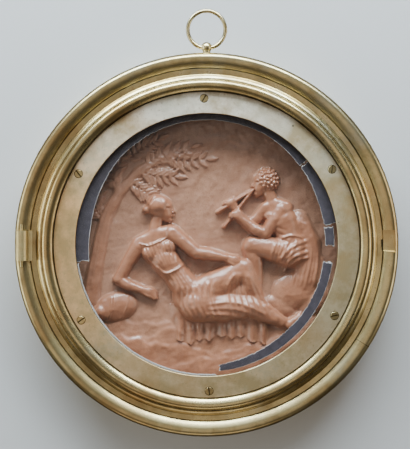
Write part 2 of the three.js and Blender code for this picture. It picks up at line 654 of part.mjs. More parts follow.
// A youth seated on the boulders, who plays a pair of pipes.
function piper(relief) {
  relief.limb([[84, 22, 1, 9], [93, 0, 1, 11], [92, -26, 1, 12], [84, -44, 1, 12]], 3, 0.55); // cloak
  relief.folds([[80, 28], [84, 0], [74, -42]], [[91, 24], [102, -8], [98, -42]], 6, 2.6, 1.7);
  relief.limb([[54, 32, 3, 5.8], [44, 22, 3.5, 4.8], [37, 19, 4, 4.2]], 1); // far arm
  relief.limb([[37, 19, 4, 4.2], [30, 26, 4.5, 3.9], [25, 33, 5, 2.8]], 1);
  relief.limb([[40, -3, 5, 8], [44, -18, 4, 7.2], [46, -40, 3, 5]], 1.5); // legs
  relief.mound([78, -8, 3], [16, 14], 0, 9, 3);
  relief.limb([[76, -8, 5, 12.5], [58, -4, 6, 10.6], [41, -1, 6.5, 8]], 2);
  relief.limb([[77, -2, 3.5, 12.5], [73, 10, 4, 11.3], [69, 20, 4, 13]], 3, 0.9); // trunk
  relief.mound([66, 25, 4], [15, 13.5], 115, 9, 3);
  relief.limb([[54, 32, 4, 6.3], [62, 36, 4.5, 6.6], [71, 33, 5.5, 6.8]], 2.5);
  relief.mound([59, 25, 8], [7, 5.2], -20, 4.4, 1.4);
  relief.limb([[63, 33, 5, 6.4], [59, 40, 5, 5.4], [56, 48, 5, 5.2]], 1.5);
  const head = new Head(relief, [51.5, 54.5], 5, 25, 3, -1);
  head.face();
  head.curlyHair();
  const mouth = head.at(0.37, -0.235);
  relief.limb([[...mouth, 8.5, 1], [10, 29, 6.5, 1.3]], 0.25); // pipes
  relief.limb([[...mouth, 8.5, 1], [16, 16, 8.5, 1.3]], 0.25);
  hand(relief, [25, 33], [22.5, 37], 6.5, 1.4, 8);
  relief.limb([[68, 31, 8, 6.8], [60, 20, 9.5, 5.8], [53, 9, 10, 4.8]], 1); // near arm
  relief.mound([61.5, 21.5, 10], [8, 4.8], 55, 5.4, 1.4);
  relief.limb([[53, 9, 10, 4.8], [43, 14, 10.5, 4.7], [31, 23, 10.5, 3]], 1);
  hand(relief, [31, 23], [27.5, 26.5], 10.5, 1.2, 8);
  const loincloth = [[92, 6], [76, 0], [62, -16]];
  relief.folds(loincloth, [[94, -14], [80, -18], [70, -28]], 4, 2.4, 1.7);
  relief.folds([[62, 6], [58, -6], [56, -18]], [[84, 6], [76, -12], [72, -28]], 6, 2.2, 1.5);
  relief.ridge([[66, 5], [76, 8], [88, 6]], 2, 1.6, 0.15);
}

// --- relief disc ----------------------------------------------------------------------

// Visits the right-angled triangles that the field falls into after so many halvings.
function eachTriangle(level, visit) {
  const split = (depth, a, b, c) => {
    if (depth === level) return visit(a, b, c);
    const middle = [(a[0] + b[0]) / 2, (a[1] + b[1]) / 2];
    split(depth + 1, c, a, middle);
    split(depth + 1, b, c, middle);
  };
  split(0, [0, 0], [CELLS, CELLS], [CELLS, 0]);
  split(0, [CELLS, CELLS], [0, 0], [0, CELLS]);
}

// Triangles over the field, fine where it is uneven. Each long side is halved wherever
// its middle, or any in the halves, misses the surface, so that neighbours always meet.
function fieldTriangles(z) {
  const at = ([x, y]) => (Number.isInteger(x) ? y * (CELLS + 1) + x : -1);
  const middleOf = ([ax, ay], [bx, by]) => [(ax + bx) / 2, (ay + by) / 2];
  const misses = new Float32Array(z.length);
  for (let level = 2 * Math.log2(CELLS) - 1; level >= 0; level--) {
    eachTriangle(level, (a, b, c) => {
      const middle = at(middleOf(a, b));
      const miss = Math.abs(z[middle] - (z[at(a)] + z[at(b)]) / 2);
      const halves = [middleOf(a, c), middleOf(b, c)].map((place) => misses[at(place)] || 0);
      misses[middle] = Math.max(misses[middle], miss, ...halves);
    });
  }
  const triangles = [];
  const refine = (a, b, c) => {
    const middle = middleOf(a, b);
    if (misses[at(middle)] > TOLERANCE) {
      refine(c, a, middle);
      refine(b, c, middle);
    } else triangles.push(at(b), at(a), at(c));
  };
  refine([0, 0], [CELLS, CELLS], [CELLS, 0]);
  refine([CELLS, CELLS], [0, 0], [0, CELLS]);
  return triangles;
}

// Adds to an open surface the sides down to z and the back, as a fan.
function close(points, triangles, z) {
  const edges = new Map();
  for (let i = 0; i < triangles.length; i++) {
    const [a, b] = [triangles[i], triangles[i % 3 === 2 ? i - 2 : i + 1]];
    if (!edges.delete(`${b},${a}`)) edges.set(`${a},${b}`, [a, b]);
  }
  const middle = points.length / 3;
  points.push(0, 0, z);
  const below = new Map();
  for (const [a] of edges.values()) {
    below.set(a, points.length / 3);
    points.push(points[3 * a], points[3 * a + 1], z);
  }
  for (const [a, b] of edges.values()) {
    triangles.push(b, a, below.get(a), b, below.get(a), below.get(b), middle, below.get(b), below.get(a));
  }
}

function reliefDisc() {
  const relief = new Modelling();
  for (const form of [ground, tree, piper, jar, recliningWoman]) form(relief);
  relief.soften(SOFTENING);
  const points = [];
  relief.line.forEach((y, j) => relief.line.forEach((x, i) => {
    points.push(x, y, GROUND_Z + DEPTH_SCALE * relief.z[j * (CELLS + 1) + i]);
  }));
  const triangles = fieldTriangles(points.filter((_, i) => i % 3 === 2));
  const back = BACK_T + GAP;
  close(points, triangles, back - 1);
  const surface = new THREE.BufferGeometry();
  surface.setAttribute('position', new THREE.Float32BufferAttribute(points, 3));
  surface.setIndex(triangles);
  const disc = turned([[0, back], [RELIEF_R, back], [RELIEF_R, LEDGE_Z], [0, LEDGE_Z]]);
  return geometryOf(solid(surface).intersect(solid(disc)));
}

// --- assembly -------------------------------------------------------------------------

const plaque = new THREE.Group();
plaque.rotation.x = Math.PI / 2;

function piece(name, geometry, material, parent = plaque) {
  const mesh = new THREE.Mesh(geometry, new THREE.MeshStandardMaterial(material));
  mesh.name = name;
  parent.add(mesh);
  return mesh;
}

piece('case_shell', caseShell(), BRASS);
piece('relief_disc', reliefDisc(), TERRACOTTA);
piece('hinge_pin', hingePin(), BRASS).position.set(HINGE_X, HINGE_Y, HINGE_Z);
piece('hanging_ring', hangingRing(), BRASS).position.set(0, RING_Y, BEAD_Z);

const bezel = new THREE.Group();
plaque.add(bezel);
piece('bezel_ring', bezelRing(), BRASS, bezel);
piece('flat_ring', flatRing(), BRASS, bezel);
piece('glass_pane', glassPane(), GLASS, bezel);
piece('hinge_barrel', hingeBarrel(), BRASS, bezel).position.set(HINGE_X, HINGE_Y, HINGE_Z);
for (const [name, place] of Object.entries(TAPES)) {
  piece(name, tape(place), PAPER, bezel).position.z = LEDGE_Z - GLASS_T - GAP - TAPE_T;
}
SLOT_TURNS.forEach((turn, i) => {
  const mesh = piece(`screw_${i + 1}`, screw(), BRASS, bezel);
  mesh.position.copy(screwPlace(i)).setZ(FLAT_Z - SCREW_SINK);
  mesh.rotation.z = radians(turn);
});

export default plaque;
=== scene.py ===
"""A terracotta relief in a turned brass case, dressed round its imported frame."""

import math
from contextlib import contextmanager
from functools import reduce

import bmesh
import bpy
import numpy as np
from mathutils import Matrix, Vector


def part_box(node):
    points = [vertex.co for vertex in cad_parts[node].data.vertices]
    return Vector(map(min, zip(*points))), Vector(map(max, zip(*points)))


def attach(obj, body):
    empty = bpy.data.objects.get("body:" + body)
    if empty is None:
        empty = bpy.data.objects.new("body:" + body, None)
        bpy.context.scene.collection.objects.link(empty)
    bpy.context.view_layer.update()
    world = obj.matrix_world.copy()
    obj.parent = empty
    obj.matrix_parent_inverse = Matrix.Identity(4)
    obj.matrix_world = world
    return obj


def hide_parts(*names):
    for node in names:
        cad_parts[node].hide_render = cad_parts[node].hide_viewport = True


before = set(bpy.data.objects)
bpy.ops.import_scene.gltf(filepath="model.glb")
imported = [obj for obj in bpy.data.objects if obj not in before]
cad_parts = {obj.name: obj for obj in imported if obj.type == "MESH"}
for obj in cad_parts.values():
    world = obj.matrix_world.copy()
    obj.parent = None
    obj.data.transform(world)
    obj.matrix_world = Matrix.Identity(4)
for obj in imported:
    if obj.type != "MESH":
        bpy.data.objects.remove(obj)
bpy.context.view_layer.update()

bl_info = {
    "name": "Relief Plaque",
    "version": (1, 0, 0),
    "blender": (4, 5, 0),
    "location": "View3D > Sidebar > Plaque",
    "description": "Builds a terracotta relief under glass in a turned brass case",
    "category": "Add Mesh",
}

MM = 0.001


def depth_of(node, face="front"):
    """How far a frame node's front or back face stands out from the wall, in metres."""
    low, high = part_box(node)
    return -low.y if face == "front" else -high.y


def radius_of(node):
    low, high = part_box(node)
    return (high.x - low.x) / 2


# --- settings -------------------------------------------------------------------------


def length(name, description, default):
    return bpy.props.FloatProperty(name=name, description=description, default=default, min=0.0,
                                   precision=4, subtype="DISTANCE", unit="LENGTH")


def angle(name, description, degrees):
    return bpy.props.FloatProperty(name=name, description=description,
                                   default=math.radians(degrees), subtype="ANGLE", unit="ROTATION")


def colour(name, description, default):
    return bpy.props.FloatVectorProperty(name=name, description=description, default=default,
                                         size=3, min=0.0, max=1.0, subtype="COLOR")


class CaseSizes(bpy.types.PropertyGroup):
    outer_radius: length("Outer radius", "Outside of the round moulding", radius_of("case_shell"))
    rim_radius: length("Rim radius", "Inside of the rim, round the bezel", 0.156)
    drum_radius: length("Drum radius", "Side of the drum behind the rim", 0.166)
    drum_wall: length("Drum wall", "Thickness of the drum's side", 0.002)
    back_thickness: length("Back thickness", "Thickness of the back plate", 0.002)
    shelf_radius: length("Shelf radius", "Inner edge of the shelf that the bezel shuts on", 0.148)
    shelf_depth: length("Shelf depth", "Top of that shelf, out from the wall", 0.027)
    shelf_thickness: length("Shelf thickness", "Thickness of that shelf", 0.0025)
    moulding_crest: length("Crest radius", "Highest line of the rim's moulding", 0.1652)
    moulding_depth: length("Moulding depth", "Widest line of the moulding, out from the wall",
                           0.031)
    moulding_height: length("Moulding height", "Rise of the moulding above its widest line", 0.007)
    moulding_drop: length("Moulding drop", "Fall of the moulding from its crest inward", 0.0038)
    tuck_height: length("Tuck height", "How far the moulding tucks back onto the drum", 0.0063)
    notch_low: length("Notch's foot", "Thumb notch's foot below the middle", 0.0049)
    notch_high: length("Notch's top", "Thumb notch's top above the middle", 0.0129)
    notch_inside: length("Notch inside", "Notch's floor at the bezel, out from the wall", 0.033)
    notch_outside: length("Notch outside", "Notch's floor at its outer end", 0.035)
    seat_height: length("Seat height", "Rim that centres the relief", 0.007)
    seat_thickness: length("Seat thickness", "Wall of that rim", 0.002)
    seam: angle("Seam", "Angle of the joint in the round moulding", -32.2)


class BezelSizes(bpy.types.PropertyGroup):
    outer_radius: length("Outer radius", "Outside of the bezel", radius_of("bezel_ring"))
    under_depth: length("Underside", "Underside of the bezel, out from the wall",
                        depth_of("bezel_ring", "back"))
    band_depth: length("Band depth", "Face of the flat band beside the rim", 0.0347)
    band_tilt: length("Band tilt", "How much the band's rim stands over its middle", 0.00035)
    band_radius: length("Band radius", "Inner edge of the flat band", 0.1507)
    cove_radius: length("Cove radius", "Top of the cove", 0.146)
    cove_depth: length("Cove depth", "Top of the cove, out from the wall", 0.0372)
    collar_crest: length("Collar crest", "Highest line of the raised collar", 0.1415)
    collar_radius: length("Collar radius", "Inner side of the raised collar", 0.1354)
    collar_height: length("Collar height", "Rise of the collar above the cove", 0.0051)
    collar_drop: length("Collar drop", "Fall of the collar from its crest inward", 0.0026)
    ledge_radius: length("Ledge radius", "Outside of the glass's rabbet", 0.1252)
    ledge_depth: length("Ledge depth", "Seat of the flat ring", 0.0332)
    lip_radius: length("Lip radius", "Inner edge of the lip under the glass", 0.1215)
    glass_thickness: length("Glass thickness", "Thickness of the pane", 0.0026)


class FlatRingSizes(bpy.types.PropertyGroup):
    inner_radius: length("Inner radius", "Edge of the opening", 0.1157)
    face_depth: length("Face depth", "Face of the ring, out from the wall", depth_of("flat_ring"))
    gap: length("Gap", "Gap between the ring and the collar round it", 0.00015)
    screws: bpy.props.IntProperty(name="Screws", description="Screws round the ring",
                                  default=6, min=1, max=6)
    screw_circle: length("Screw circle", "Radius to the middle of the screws", 0.129)
    screw_start: angle("First screw", "Angle of the first screw above the right-hand side", 31)
    head_radius: length("Head radius", "Radius of a screw's head", 0.0034)
    screw_gap: length("Screw gap", "Gap round a screw's head", 0.0005)
    slot_width: length("Slot width", "Width of a screw's slot", 0.0012)
    slot_depth: length("Slot depth", "Depth of a screw's slot", 0.0006)


class ReliefSizes(bpy.types.PropertyGroup):
    radius: length("Radius", "Outside of the terracotta disc", radius_of("relief_disc"))
    ground_depth: length("Ground depth", "Bare ground of the relief, out from the wall", 0.0105)
    back_depth: length("Back depth", "Back of the disc, out from the wall",
                       depth_of("relief_disc", "back"))
    modelling: bpy.props.FloatProperty(
        name="Modelling", description="How boldly the forms stand out", default=0.8, min=0.0,
        max=0.85, subtype="FACTOR")
    grid: length("Grid", "Spacing of the points of the modelled surface", 0.00075)


class HangingRingSizes(bpy.types.PropertyGroup):
    wire_radius: length("Wire radius", "Half the thickness of the ring's wire", 0.00172)
    ring_radius: length("Ring radius", "Radius to the middle of the wire", 0.0166)
    ring_height: length("Ring height", "Middle of the ring above the middle of the case", 0.1906)
    ball_radius: length("Ball radius", "Ball on the rim that carries the ring", 0.0047)
    ball_height: length("Ball height", "Middle of the ball above the middle of the case", 0.1747)
    bore_radius: length("Bore radius", "Hole through the ball", 0.00245)


class HingeSizes(bpy.types.PropertyGroup):
    axis_x: length("Axis", "Distance of the hinge's axis left of the middle", 0.1628)
    axis_depth: length("Axis depth", "Hinge's axis, out from the wall", 0.037)
    drop: length("Drop", "Middle of the barrel below the middle of the case", 0.0008)
    barrel_length: length("Barrel length", "Length of the barrel", 0.0265)
    barrel_radius: length("Barrel radius", "Radius of the barrel", 0.0056)
    clearance: length("Clearance", "Room round the barrel", 0.0005)
    pin_radius: length("Pin radius", "Radius of the pin", 0.0015)
    pin_length: length("Pin length", "Length of the pin", 0.038)


class Finishes(bpy.types.PropertyGroup):
    brass: colour("Brass", "Cleaned brass", (0.73, 0.60, 0.31))
    tarnish: colour("Tarnish", "Brass gone brown", (0.34, 0.24, 0.11))
    rust: colour("Rust", "Orange-brown clouds on the brass", (0.48, 0.27, 0.10))
    bloom: colour("Bloom", "Grey-green film on the brass", (0.50, 0.50, 0.40))
    # painted shade together with real dirt: the dark laid into the brass's gaps, corners and
    # hollows
    dirt_and_painted_shade: colour("Dirt", "Dirt in the corners of the brass", (0.030, 0.018, 0.008))
    terracotta: colour("Terracotta", "Fired clay", (0.52, 0.207, 0.107))
    dusty_clay: colour("Dusty clay", "Paler bare ground of the relief", (0.56, 0.28, 0.172))
    paper: colour("Paper", "Gummed paper", (0.045, 0.036, 0.046))
    torn_paper: colour("Torn paper", "Core of the paper at its torn edges", (0.62, 0.58, 0.56))
    glass: colour("Glass", "Tint of the pane", (0.05, 0.06, 0.06))


class StageSizes(bpy.types.PropertyGroup):
    camera_distance: length("Camera distance", "From the camera to the rim", 0.80)
    camera_height: length("Camera height", "Camera above the middle of the case", 0.0178)
    camera_side: length("Camera side", "Camera left of the middle of the case", 0.0014)
    view_height: length("View height", "Height of what the camera takes in at the rim", 0.3981)
    wall: colour("Wall", "Colour of the backdrop", (0.55, 0.55, 0.56))


# --- mesh tools -----------------------------------------------------------------------


def new_object(name, mesh, material):
    piece = bpy.data.objects.new(name, mesh)
    bpy.context.scene.collection.objects.link(piece)
    mesh.materials.clear()
    mesh.materials.append(material)
    return piece


def finish_piece(piece, body, slot, *nodes):
    """The piece moves with a body and stands for frame nodes, which it hides; the slot is not used.
    """
    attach(piece, body)
    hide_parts(*nodes)
    return piece


def smooth(mesh, crease=28):
    mesh.shade_smooth()
    mesh.set_sharp_from_angle(angle=math.radians(crease))


def mesh_of(name, vertices, faces):
    mesh = bpy.data.meshes.new(name)
    mesh.from_pydata([tuple(v) for v in vertices], [], faces)
    mesh.update()
    return mesh


@contextmanager
def reshaping(mesh):
    """The mesh open for changes, which are written back at the end."""
    shape = bmesh.new()
    shape.from_mesh(mesh)
    yield shape
    shape.to_mesh(mesh)
    shape.free()


def tidy_mesh(mesh, merge=1e-6):
    """Shared points merged, empty faces dropped and every face turned outward."""
    with reshaping(mesh) as shape:
        bmesh.ops.remove_doubles(shape, verts=shape.verts, dist=merge)
        bmesh.ops.dissolve_degenerate(shape, edges=shape.edges, dist=merge)
        bmesh.ops.recalc_face_normals(shape, faces=shape.faces)
    return mesh


def plain_mesh(piece):
    """The piece's mesh with its modifiers worked in and taken off it."""
    depsgraph = bpy.context.evaluated_depsgraph_get()
    mesh = bpy.data.meshes.new_from_object(piece.evaluated_get(depsgraph))
    piece.modifiers.clear()
    old = piece.data
    piece.data = mesh
    bpy.data.meshes.remove(old)
    return mesh


def block_mesh(x, z, depth):
    """A block between two values across, up the wall, and out from the wall."""
    corners = [(a, -d, c) for a in x for d in depth for c in z]
    faces = [(0, 1, 3, 2), (4, 6, 7, 5), (0, 4, 5, 1), (2, 3, 7, 6), (0, 2, 6, 4), (1, 5, 7, 3)]
    return tidy_mesh(mesh_of("block", corners, faces))


def rod_mesh(radius, half, sides=48, axis="Z"):
    """A round bar about the middle of its length."""
    mesh = bpy.data.meshes.new("rod")
    with reshaping(mesh) as shape:
        bmesh.ops.create_cone(shape, cap_ends=True, segments=sides, radius1=radius,
                              radius2=radius, depth=2 * half)
        if axis != "Z":
            shape.transform(Matrix.Rotation(math.pi / 2, 4, "Y" if axis == "X" else "X"))
    return mesh


def moved(mesh, place):
    mesh.transform(Matrix.Translation(place))
    return mesh


def combined(piece, meshes, operation="DIFFERENCE"):
    """The piece with other shapes cut from it or joined to it."""
    others = []
    for mesh in meshes:
        other = bpy.data.objects.new("cutter", mesh)
        bpy.context.scene.collection.objects.link(other)
        step = piece.modifiers.new("cut", "BOOLEAN")
        step.operation = operation
        step.solver = "EXACT"
        step.object = other
        others.append(other)
    plain_mesh(piece)
    for other in others:
        mesh = other.data
        bpy.data.objects.remove(other)
        bpy.data.meshes.remove(mesh)
    return piece


def quarter(centre, radii, start, end, steps):
    """Points on a quarter of an oval, from one angle to another in degrees."""
    return [(centre[0] + radii[0] * math.cos(a), centre[1] + radii[1] * math.sin(a))
            for a in np.radians(np.linspace(start, end, steps + 1))]


# --- geometry node trees --------------------------------------------------------------


def new_tree(name, inputs):
    """A geometry node tree and what it is given: a mesh, inputs of its own and a material."""
    tree = bpy.data.node_groups.new(name, "GeometryNodeTree")
    tree.interface.new_socket("Geometry", in_out="INPUT", socket_type="NodeSocketGeometry")
    for label, kind, default in inputs:
        tree.interface.new_socket(label, in_out="INPUT", socket_type=kind).default_value = default
    tree.interface.new_socket("Material", in_out="INPUT", socket_type="NodeSocketMaterial")
    tree.interface.new_socket("Geometry", in_out="OUTPUT", socket_type="NodeSocketGeometry")
    return tree, add_node(tree, "NodeGroupInput").outputs


def end_tree(tree, given, geometry):
    """Realizes a tree's instances, gives them its material and sends them out."""
    real = add_node(tree, "GeometryNodeRealizeInstances", {"Geometry": geometry})
    named = add_node(tree, "GeometryNodeSetMaterial", {"Geometry": real.outputs["Geometry"],
                                                       "Material": given["Material"]})
    add_node(tree, "NodeGroupOutput", {"Geometry": named.outputs["Geometry"]})
    return tree


def add_node(tree, kind, links=(), values=(), **settings):
    """A node with its settings, its plain input values and the sockets that feed it."""
    node = tree.nodes.new(kind)
    for key, value in settings.items():
        setattr(node, key, value)
    for key, value in dict(values).items():
        node.inputs[key].default_value = value
    for key, source in dict(links).items():
        tree.links.new(source, node.inputs[key])
    return node


def run_tree(piece, tree, **values):
    """The piece's mesh put through a tree, with inputs given by name in lower case."""
    step = piece.modifiers.new(tree.name, "NODES")
    step.node_group = tree
    for item in tree.interface.items_tree:
        key = item.name.lower().replace(" ", "_")
        if item.in_out == "INPUT" and key in values:
            step[item.identifier] = values[key]
    return plain_mesh(piece)


def turned_tree():
    """Sweeps a profile, drawn across and into the wall from the path, round the case's axis."""
    tree, given = new_tree("Turned ring", [("Sides", "NodeSocketInt", 64),
                                           ("Path Radius", "NodeSocketFloat", 0.1)])
    profile = add_node(tree, "GeometryNodeMeshToCurve", {"Mesh": given["Geometry"]})
    path = add_node(tree, "GeometryNodeCurvePrimitiveCircle", {"Resolution": given["Sides"],
                                                               "Radius": given["Path Radius"]})
    swept = add_node(tree, "GeometryNodeCurveToMesh", {"Curve": path.outputs["Curve"],
                                                       "Profile Curve": profile.outputs["Curve"]})
    upright = add_node(tree, "GeometryNodeTransform", {"Geometry": swept.outputs["Mesh"]},
                       {"Rotation": (math.pi / 2, 0.0, 0.0)})
    closed = add_node(tree, "GeometryNodeMergeByDistance",
                      {"Geometry": upright.outputs["Geometry"]}, {"Distance": 1e-6})
    return end_tree(tree, given, closed.outputs["Geometry"])


def turned_piece(name, profile, material, sides=256):
    """A ring or disc turned from a profile of (radius, depth) points in metres."""
    tree = bpy.data.node_groups.get("Turned ring") or turned_tree()
    path_radius = 0.1
    flat = [(radius - path_radius, -depth, 0.0) for radius, depth in profile]
    on_axis = abs(profile[0][0]) < 1e-9 and abs(profile[-1][0]) < 1e-9
    count = len(flat)
    edges = [(i, (i + 1) % count) for i in range(count - 1 if on_axis else count)]
    mesh = bpy.data.meshes.new(name)
    mesh.from_pydata(flat, edges, [])
    piece = new_object(name, mesh, material)
    run_tree(piece, tree, sides=sides, path_radius=path_radius, material=material)
    tidy_mesh(piece.data)
    return piece


# --- materials ------------------------------------------------------------------------


FACE_DEPTH = 0.03  # the dark lines of dirt and painted shade, and the seam's joint, fall only on what stands further out than this
FLOOR_FADE = 0.0002  # depth over which everything below a floor turns dark with dirt and painted shade
SEAM_HALF, SEAM_FADE = 0.0004, 0.0003  # half width of the dark line in the rim's joint


class Finish:
    """A material being built, with short ways to add its nodes."""

    def __init__(self, name):
        self.material = bpy.data.materials.new(name)
        self.material.use_nodes = True
        self.tree = self.material.node_tree
        self.shader = self.tree.nodes["Principled BSDF"]
        self.place = self.node("ShaderNodeTexCoord").outputs["Object"]

    def node(self, kind, links=(), values=(), **settings):
        return add_node(self.tree, kind, links, values, **settings)

    def plain(self, **values):
        for key, value in values.items():
            self.shader.inputs[key.replace("_", " ")].default_value = value
        return self

    def feed(self, sockets, values):
        for socket, value in zip(sockets, values):
            if isinstance(value, bpy.types.NodeSocket):
                self.tree.links.new(value, socket)
            else:
                socket.default_value = value

    def maths(self, operation, *values):
        node = self.node("ShaderNodeMath", operation=operation)
        self.feed(node.inputs, values)
        return node.outputs[0]

    def parts(self):
        """Places across, into and up the wall."""
        return self.node("ShaderNodeSeparateXYZ", {"Vector": self.place}).outputs

    def noise(self, vector, scale, detail=3.0, roughness=0.55):
        return self.node("ShaderNodeTexNoise", {"Vector": vector},
                         {"Scale": scale, "Detail": detail, "Roughness": roughness}).outputs["Fac"]

    def ramp(self, value, *stops):
        """An amount that goes through two (value, amount) stops."""
        node = self.node("ShaderNodeValToRGB", {"Fac": value})
        elements = node.color_ramp.elements
        for element, (place, amount) in zip(elements, stops):
            element.position = place
            element.color = (amount, amount, amount, 1.0)
        return node.outputs["Color"]

    def mix(self, factor, first, second, blend="MIX"):
        node = self.node("ShaderNodeMix", data_type="RGBA", blend_type=blend)
        shades = [c if isinstance(c, bpy.types.NodeSocket) else (*c, 1.0) for c in (first, second)]
        self.feed((node.inputs[0], node.inputs[6], node.inputs[7]), (factor, *shades))
        return node.outputs[2]

    def stain(self, shade, source, start, end, tint):
        """A colour that takes a tint as a source goes through two (value, amount) stops."""
        return self.mix(self.ramp(source, start, end), shade, tint)

    def bump(self, height, strength, distance, under=None):
        node = self.node("ShaderNodeBump", {"Height": height},
                         {"Strength": strength, "Distance": distance})
        if under is not None:
            self.tree.links.new(under, node.inputs["Normal"])
        return node.outputs["Normal"]

    def to_shader(self, **sockets):
        for key, source in sockets.items():
            self.tree.links.new(source, self.shader.inputs[key.replace("_", " ")])
        return self.material

    def turning(self):
        """Radius from the case's middle, and a place on which only the radius varies."""
        parts = self.parts()
        flat = self.node("ShaderNodeCombineXYZ", {"X": parts["X"], "Z": parts["Z"]}).outputs[0]
        radius = self.node("ShaderNodeVectorMath", {"Vector": flat},
                           operation="LENGTH").outputs["Value"]
        round_place = self.node("ShaderNodeCombineXYZ", {"X": radius, "Y": parts["Y"]}).outputs[0]
        return radius, round_place

    def dirt_and_painted_shade(self, radius, uneven, lines, floor, seam):
        """How dark each place is made by dirt and painted shade, from 0 to 1, or None where nothing
        is darkened.
        """
        maths, parts, amounts = self.maths, self.parts(), []
        face = maths("LESS_THAN", parts["Y"], -FACE_DEPTH)
        for middle, half in lines:
            off = maths("ABSOLUTE", maths("SUBTRACT", radius, middle))
            reach = maths("MULTIPLY", uneven, 2 * half)
            near = maths("DIVIDE", maths("SUBTRACT", reach, off), half * 0.6)
            amounts.append(maths("MULTIPLY", near, face))
        if floor is not None:
            amounts.append(maths("DIVIDE", maths("ADD", parts["Y"], floor), FLOOR_FADE))
        if seam is not None:
            off = maths("ABSOLUTE", maths("SUBTRACT", maths("MULTIPLY", parts["X"], math.sin(seam)),
                                          maths("MULTIPLY", parts["Z"], math.cos(seam))))
            near = maths("DIVIDE", maths("SUBTRACT", SEAM_HALF, off), SEAM_FADE)
            ahead = maths("GREATER_THAN", maths("MULTIPLY", parts["X"], math.cos(seam)), 0.0)
            on_rim = maths("GREATER_THAN", radius, bpy.context.scene.plaque_case.rim_radius)
            there = maths("MULTIPLY", maths("MULTIPLY", ahead, on_rim), face)
            amounts.append(maths("MULTIPLY", near, there))
        if not amounts:
            return None
        amount = reduce(lambda first, second: maths("MAXIMUM", first, second), amounts)
        return self.ramp(amount, (0.0, 0.0), (1.0, 0.85))


def scaled(shade, factor):
    return tuple(min(1.0, c * factor) for c in shade)


def brass(name, shine=1.0, rough=0.30, lines=1.0, lathe=True, dirt_and_shade_lines=(), floor=None, seam=None,
          side_tarnish_and_painted_light=()):
    """Old turned brass, tarnished in clouds, with tool lines, and darkened in its corners and gaps
    by dirt and painted shade.

    The line list gives (radius, half width) of each dark line of dirt and painted shade round the
    case, floor the depth under which everything is darkened by dirt and painted shade, seam the
    angle of a dark joint across the ring, and the side list the tints painted on each side as
    painted reflections with tarnish, each (axis, start, end, amount, colour).
    """
    colours = bpy.context.scene.plaque_finishes
    finish = Finish(name)
    clean, dull = scaled(colours.brass, shine), scaled(colours.tarnish, shine)
    radius, round_place = finish.turning()
    place = round_place if lathe else finish.place
    blotches = finish.noise(finish.place, 38.0, 5.0, 0.62)
    aside = finish.node("ShaderNodeVectorMath", {0: finish.place}, {1: (0.7, 0.3, 0.5)},
                        operation="ADD").outputs[0]
    clouds = finish.noise(aside, 13.0, 7.0, 0.72)
    specks = finish.noise(finish.place, 420.0, 2.0, 0.5)
    tool = finish.noise(place, 1500.0 if lathe else 700.0, 2.0, 0.7)
    sides, shade = finish.parts(), clean
    # tints painted by side: reflections of the surroundings painted on with tarnish, the top near
    # white under the light above
    for axis, start, end, amount, tint in side_tarnish_and_painted_light:
        share = finish.node("ShaderNodeMapRange", {"Value": sides[axis]},
                            {"From Min": start, "From Max": end, "To Max": amount})
        shade = finish.mix(share.outputs["Result"], shade, tint)
    for source, start, end, tint in ((blotches, (0.42, 0.0), (0.62, 0.75), dull),
                                     (clouds, (0.50, 0.0), (0.64, 0.55), colours.rust),
                                     (clouds, (0.36, 0.55), (0.47, 0.0), colours.bloom),
                                     (specks, (0.62, 0.0), (0.74, 0.5), dull),
                                     (tool, (0.30, 0.0), (0.72, 0.25), scaled(clean, 1.12))):
        shade = finish.stain(shade, source, start, end, tint)
    roughness = finish.maths("ADD", finish.maths("MULTIPLY", blotches, 0.22), rough - 0.12)
    roughness = finish.maths("ADD", roughness, finish.maths("MULTIPLY", tool, 0.06))
    # dirt and painted shade: the gaps, the hollows below the floor and the seam's joint are
    # darkened
    dirt_and_painted_shade = finish.dirt_and_painted_shade(radius, blotches, dirt_and_shade_lines, floor, seam)
    if dirt_and_painted_shade is not None:
        shade = finish.mix(dirt_and_painted_shade, shade, colours.dirt_and_painted_shade)
        roughness = finish.maths("ADD", roughness, finish.maths("MULTIPLY", dirt_and_painted_shade, 0.25))
    normal = finish.bump(tool, 0.22 * lines, 0.00006)
    normal = finish.bump(blotches, 0.12, 0.0004, normal)
    finish.plain(Metallic=1.0)
    return finish.to_shader(Base_Color=shade, Roughness=roughness, Normal=normal)


def terracotta():
    """Fired clay with a waxed skin, darker in its clouds and freckles."""
    colours = bpy.context.scene.plaque_finishes
    finish = Finish("terracotta")
    cloud = finish.noise(finish.place, 26.0, 4.0, 0.6)
    mottle = finish.noise(finish.place, 130.0, 5.0, 0.75)
    grain = finish.noise(finish.place, 900.0, 3.0, 0.6)
    pits = finish.node("ShaderNodeTexVoronoi", {"Vector": finish.place}, {"Scale": 260.0})
    ground = finish.node("ShaderNodeMapRange", {"Value": finish.parts()["Y"]},
                         {"From Min": -0.0165, "From Max": -0.0110}).outputs["Result"]
    shade = finish.mix(ground, colours.terracotta, colours.dusty_clay)
    worn = finish.mix(1.0, shade, (0.80, 0.76, 0.74), "MULTIPLY")
    shade = finish.stain(shade, cloud, (0.38, 0.0), (0.62, 1.0), worn)
    shade = finish.stain(shade, mottle, (0.46, 0.0), (0.60, 0.9), worn)
    shade = finish.stain(shade, grain, (0.54, 0.0), (0.72, 0.6), scaled(colours.terracotta, 0.5))
    normal = finish.bump(grain, 0.22, 0.0002)
    normal = finish.bump(mottle, 0.12, 0.0008, normal)
    sunk = finish.ramp(pits.outputs["Distance"], (0.02, 0.0), (0.10, 1.0))
    normal = finish.bump(sunk, 0.10, 0.0002, normal)
    rough = finish.maths("ADD", finish.maths("MULTIPLY", cloud, 0.2), 0.26)
    finish.plain(Metallic=0.0, Specular_IOR_Level=0.8, Coat_Weight=0.5, Coat_Roughness=0.2)
    return finish.to_shader(Base_Color=shade, Roughness=rough, Normal=normal)


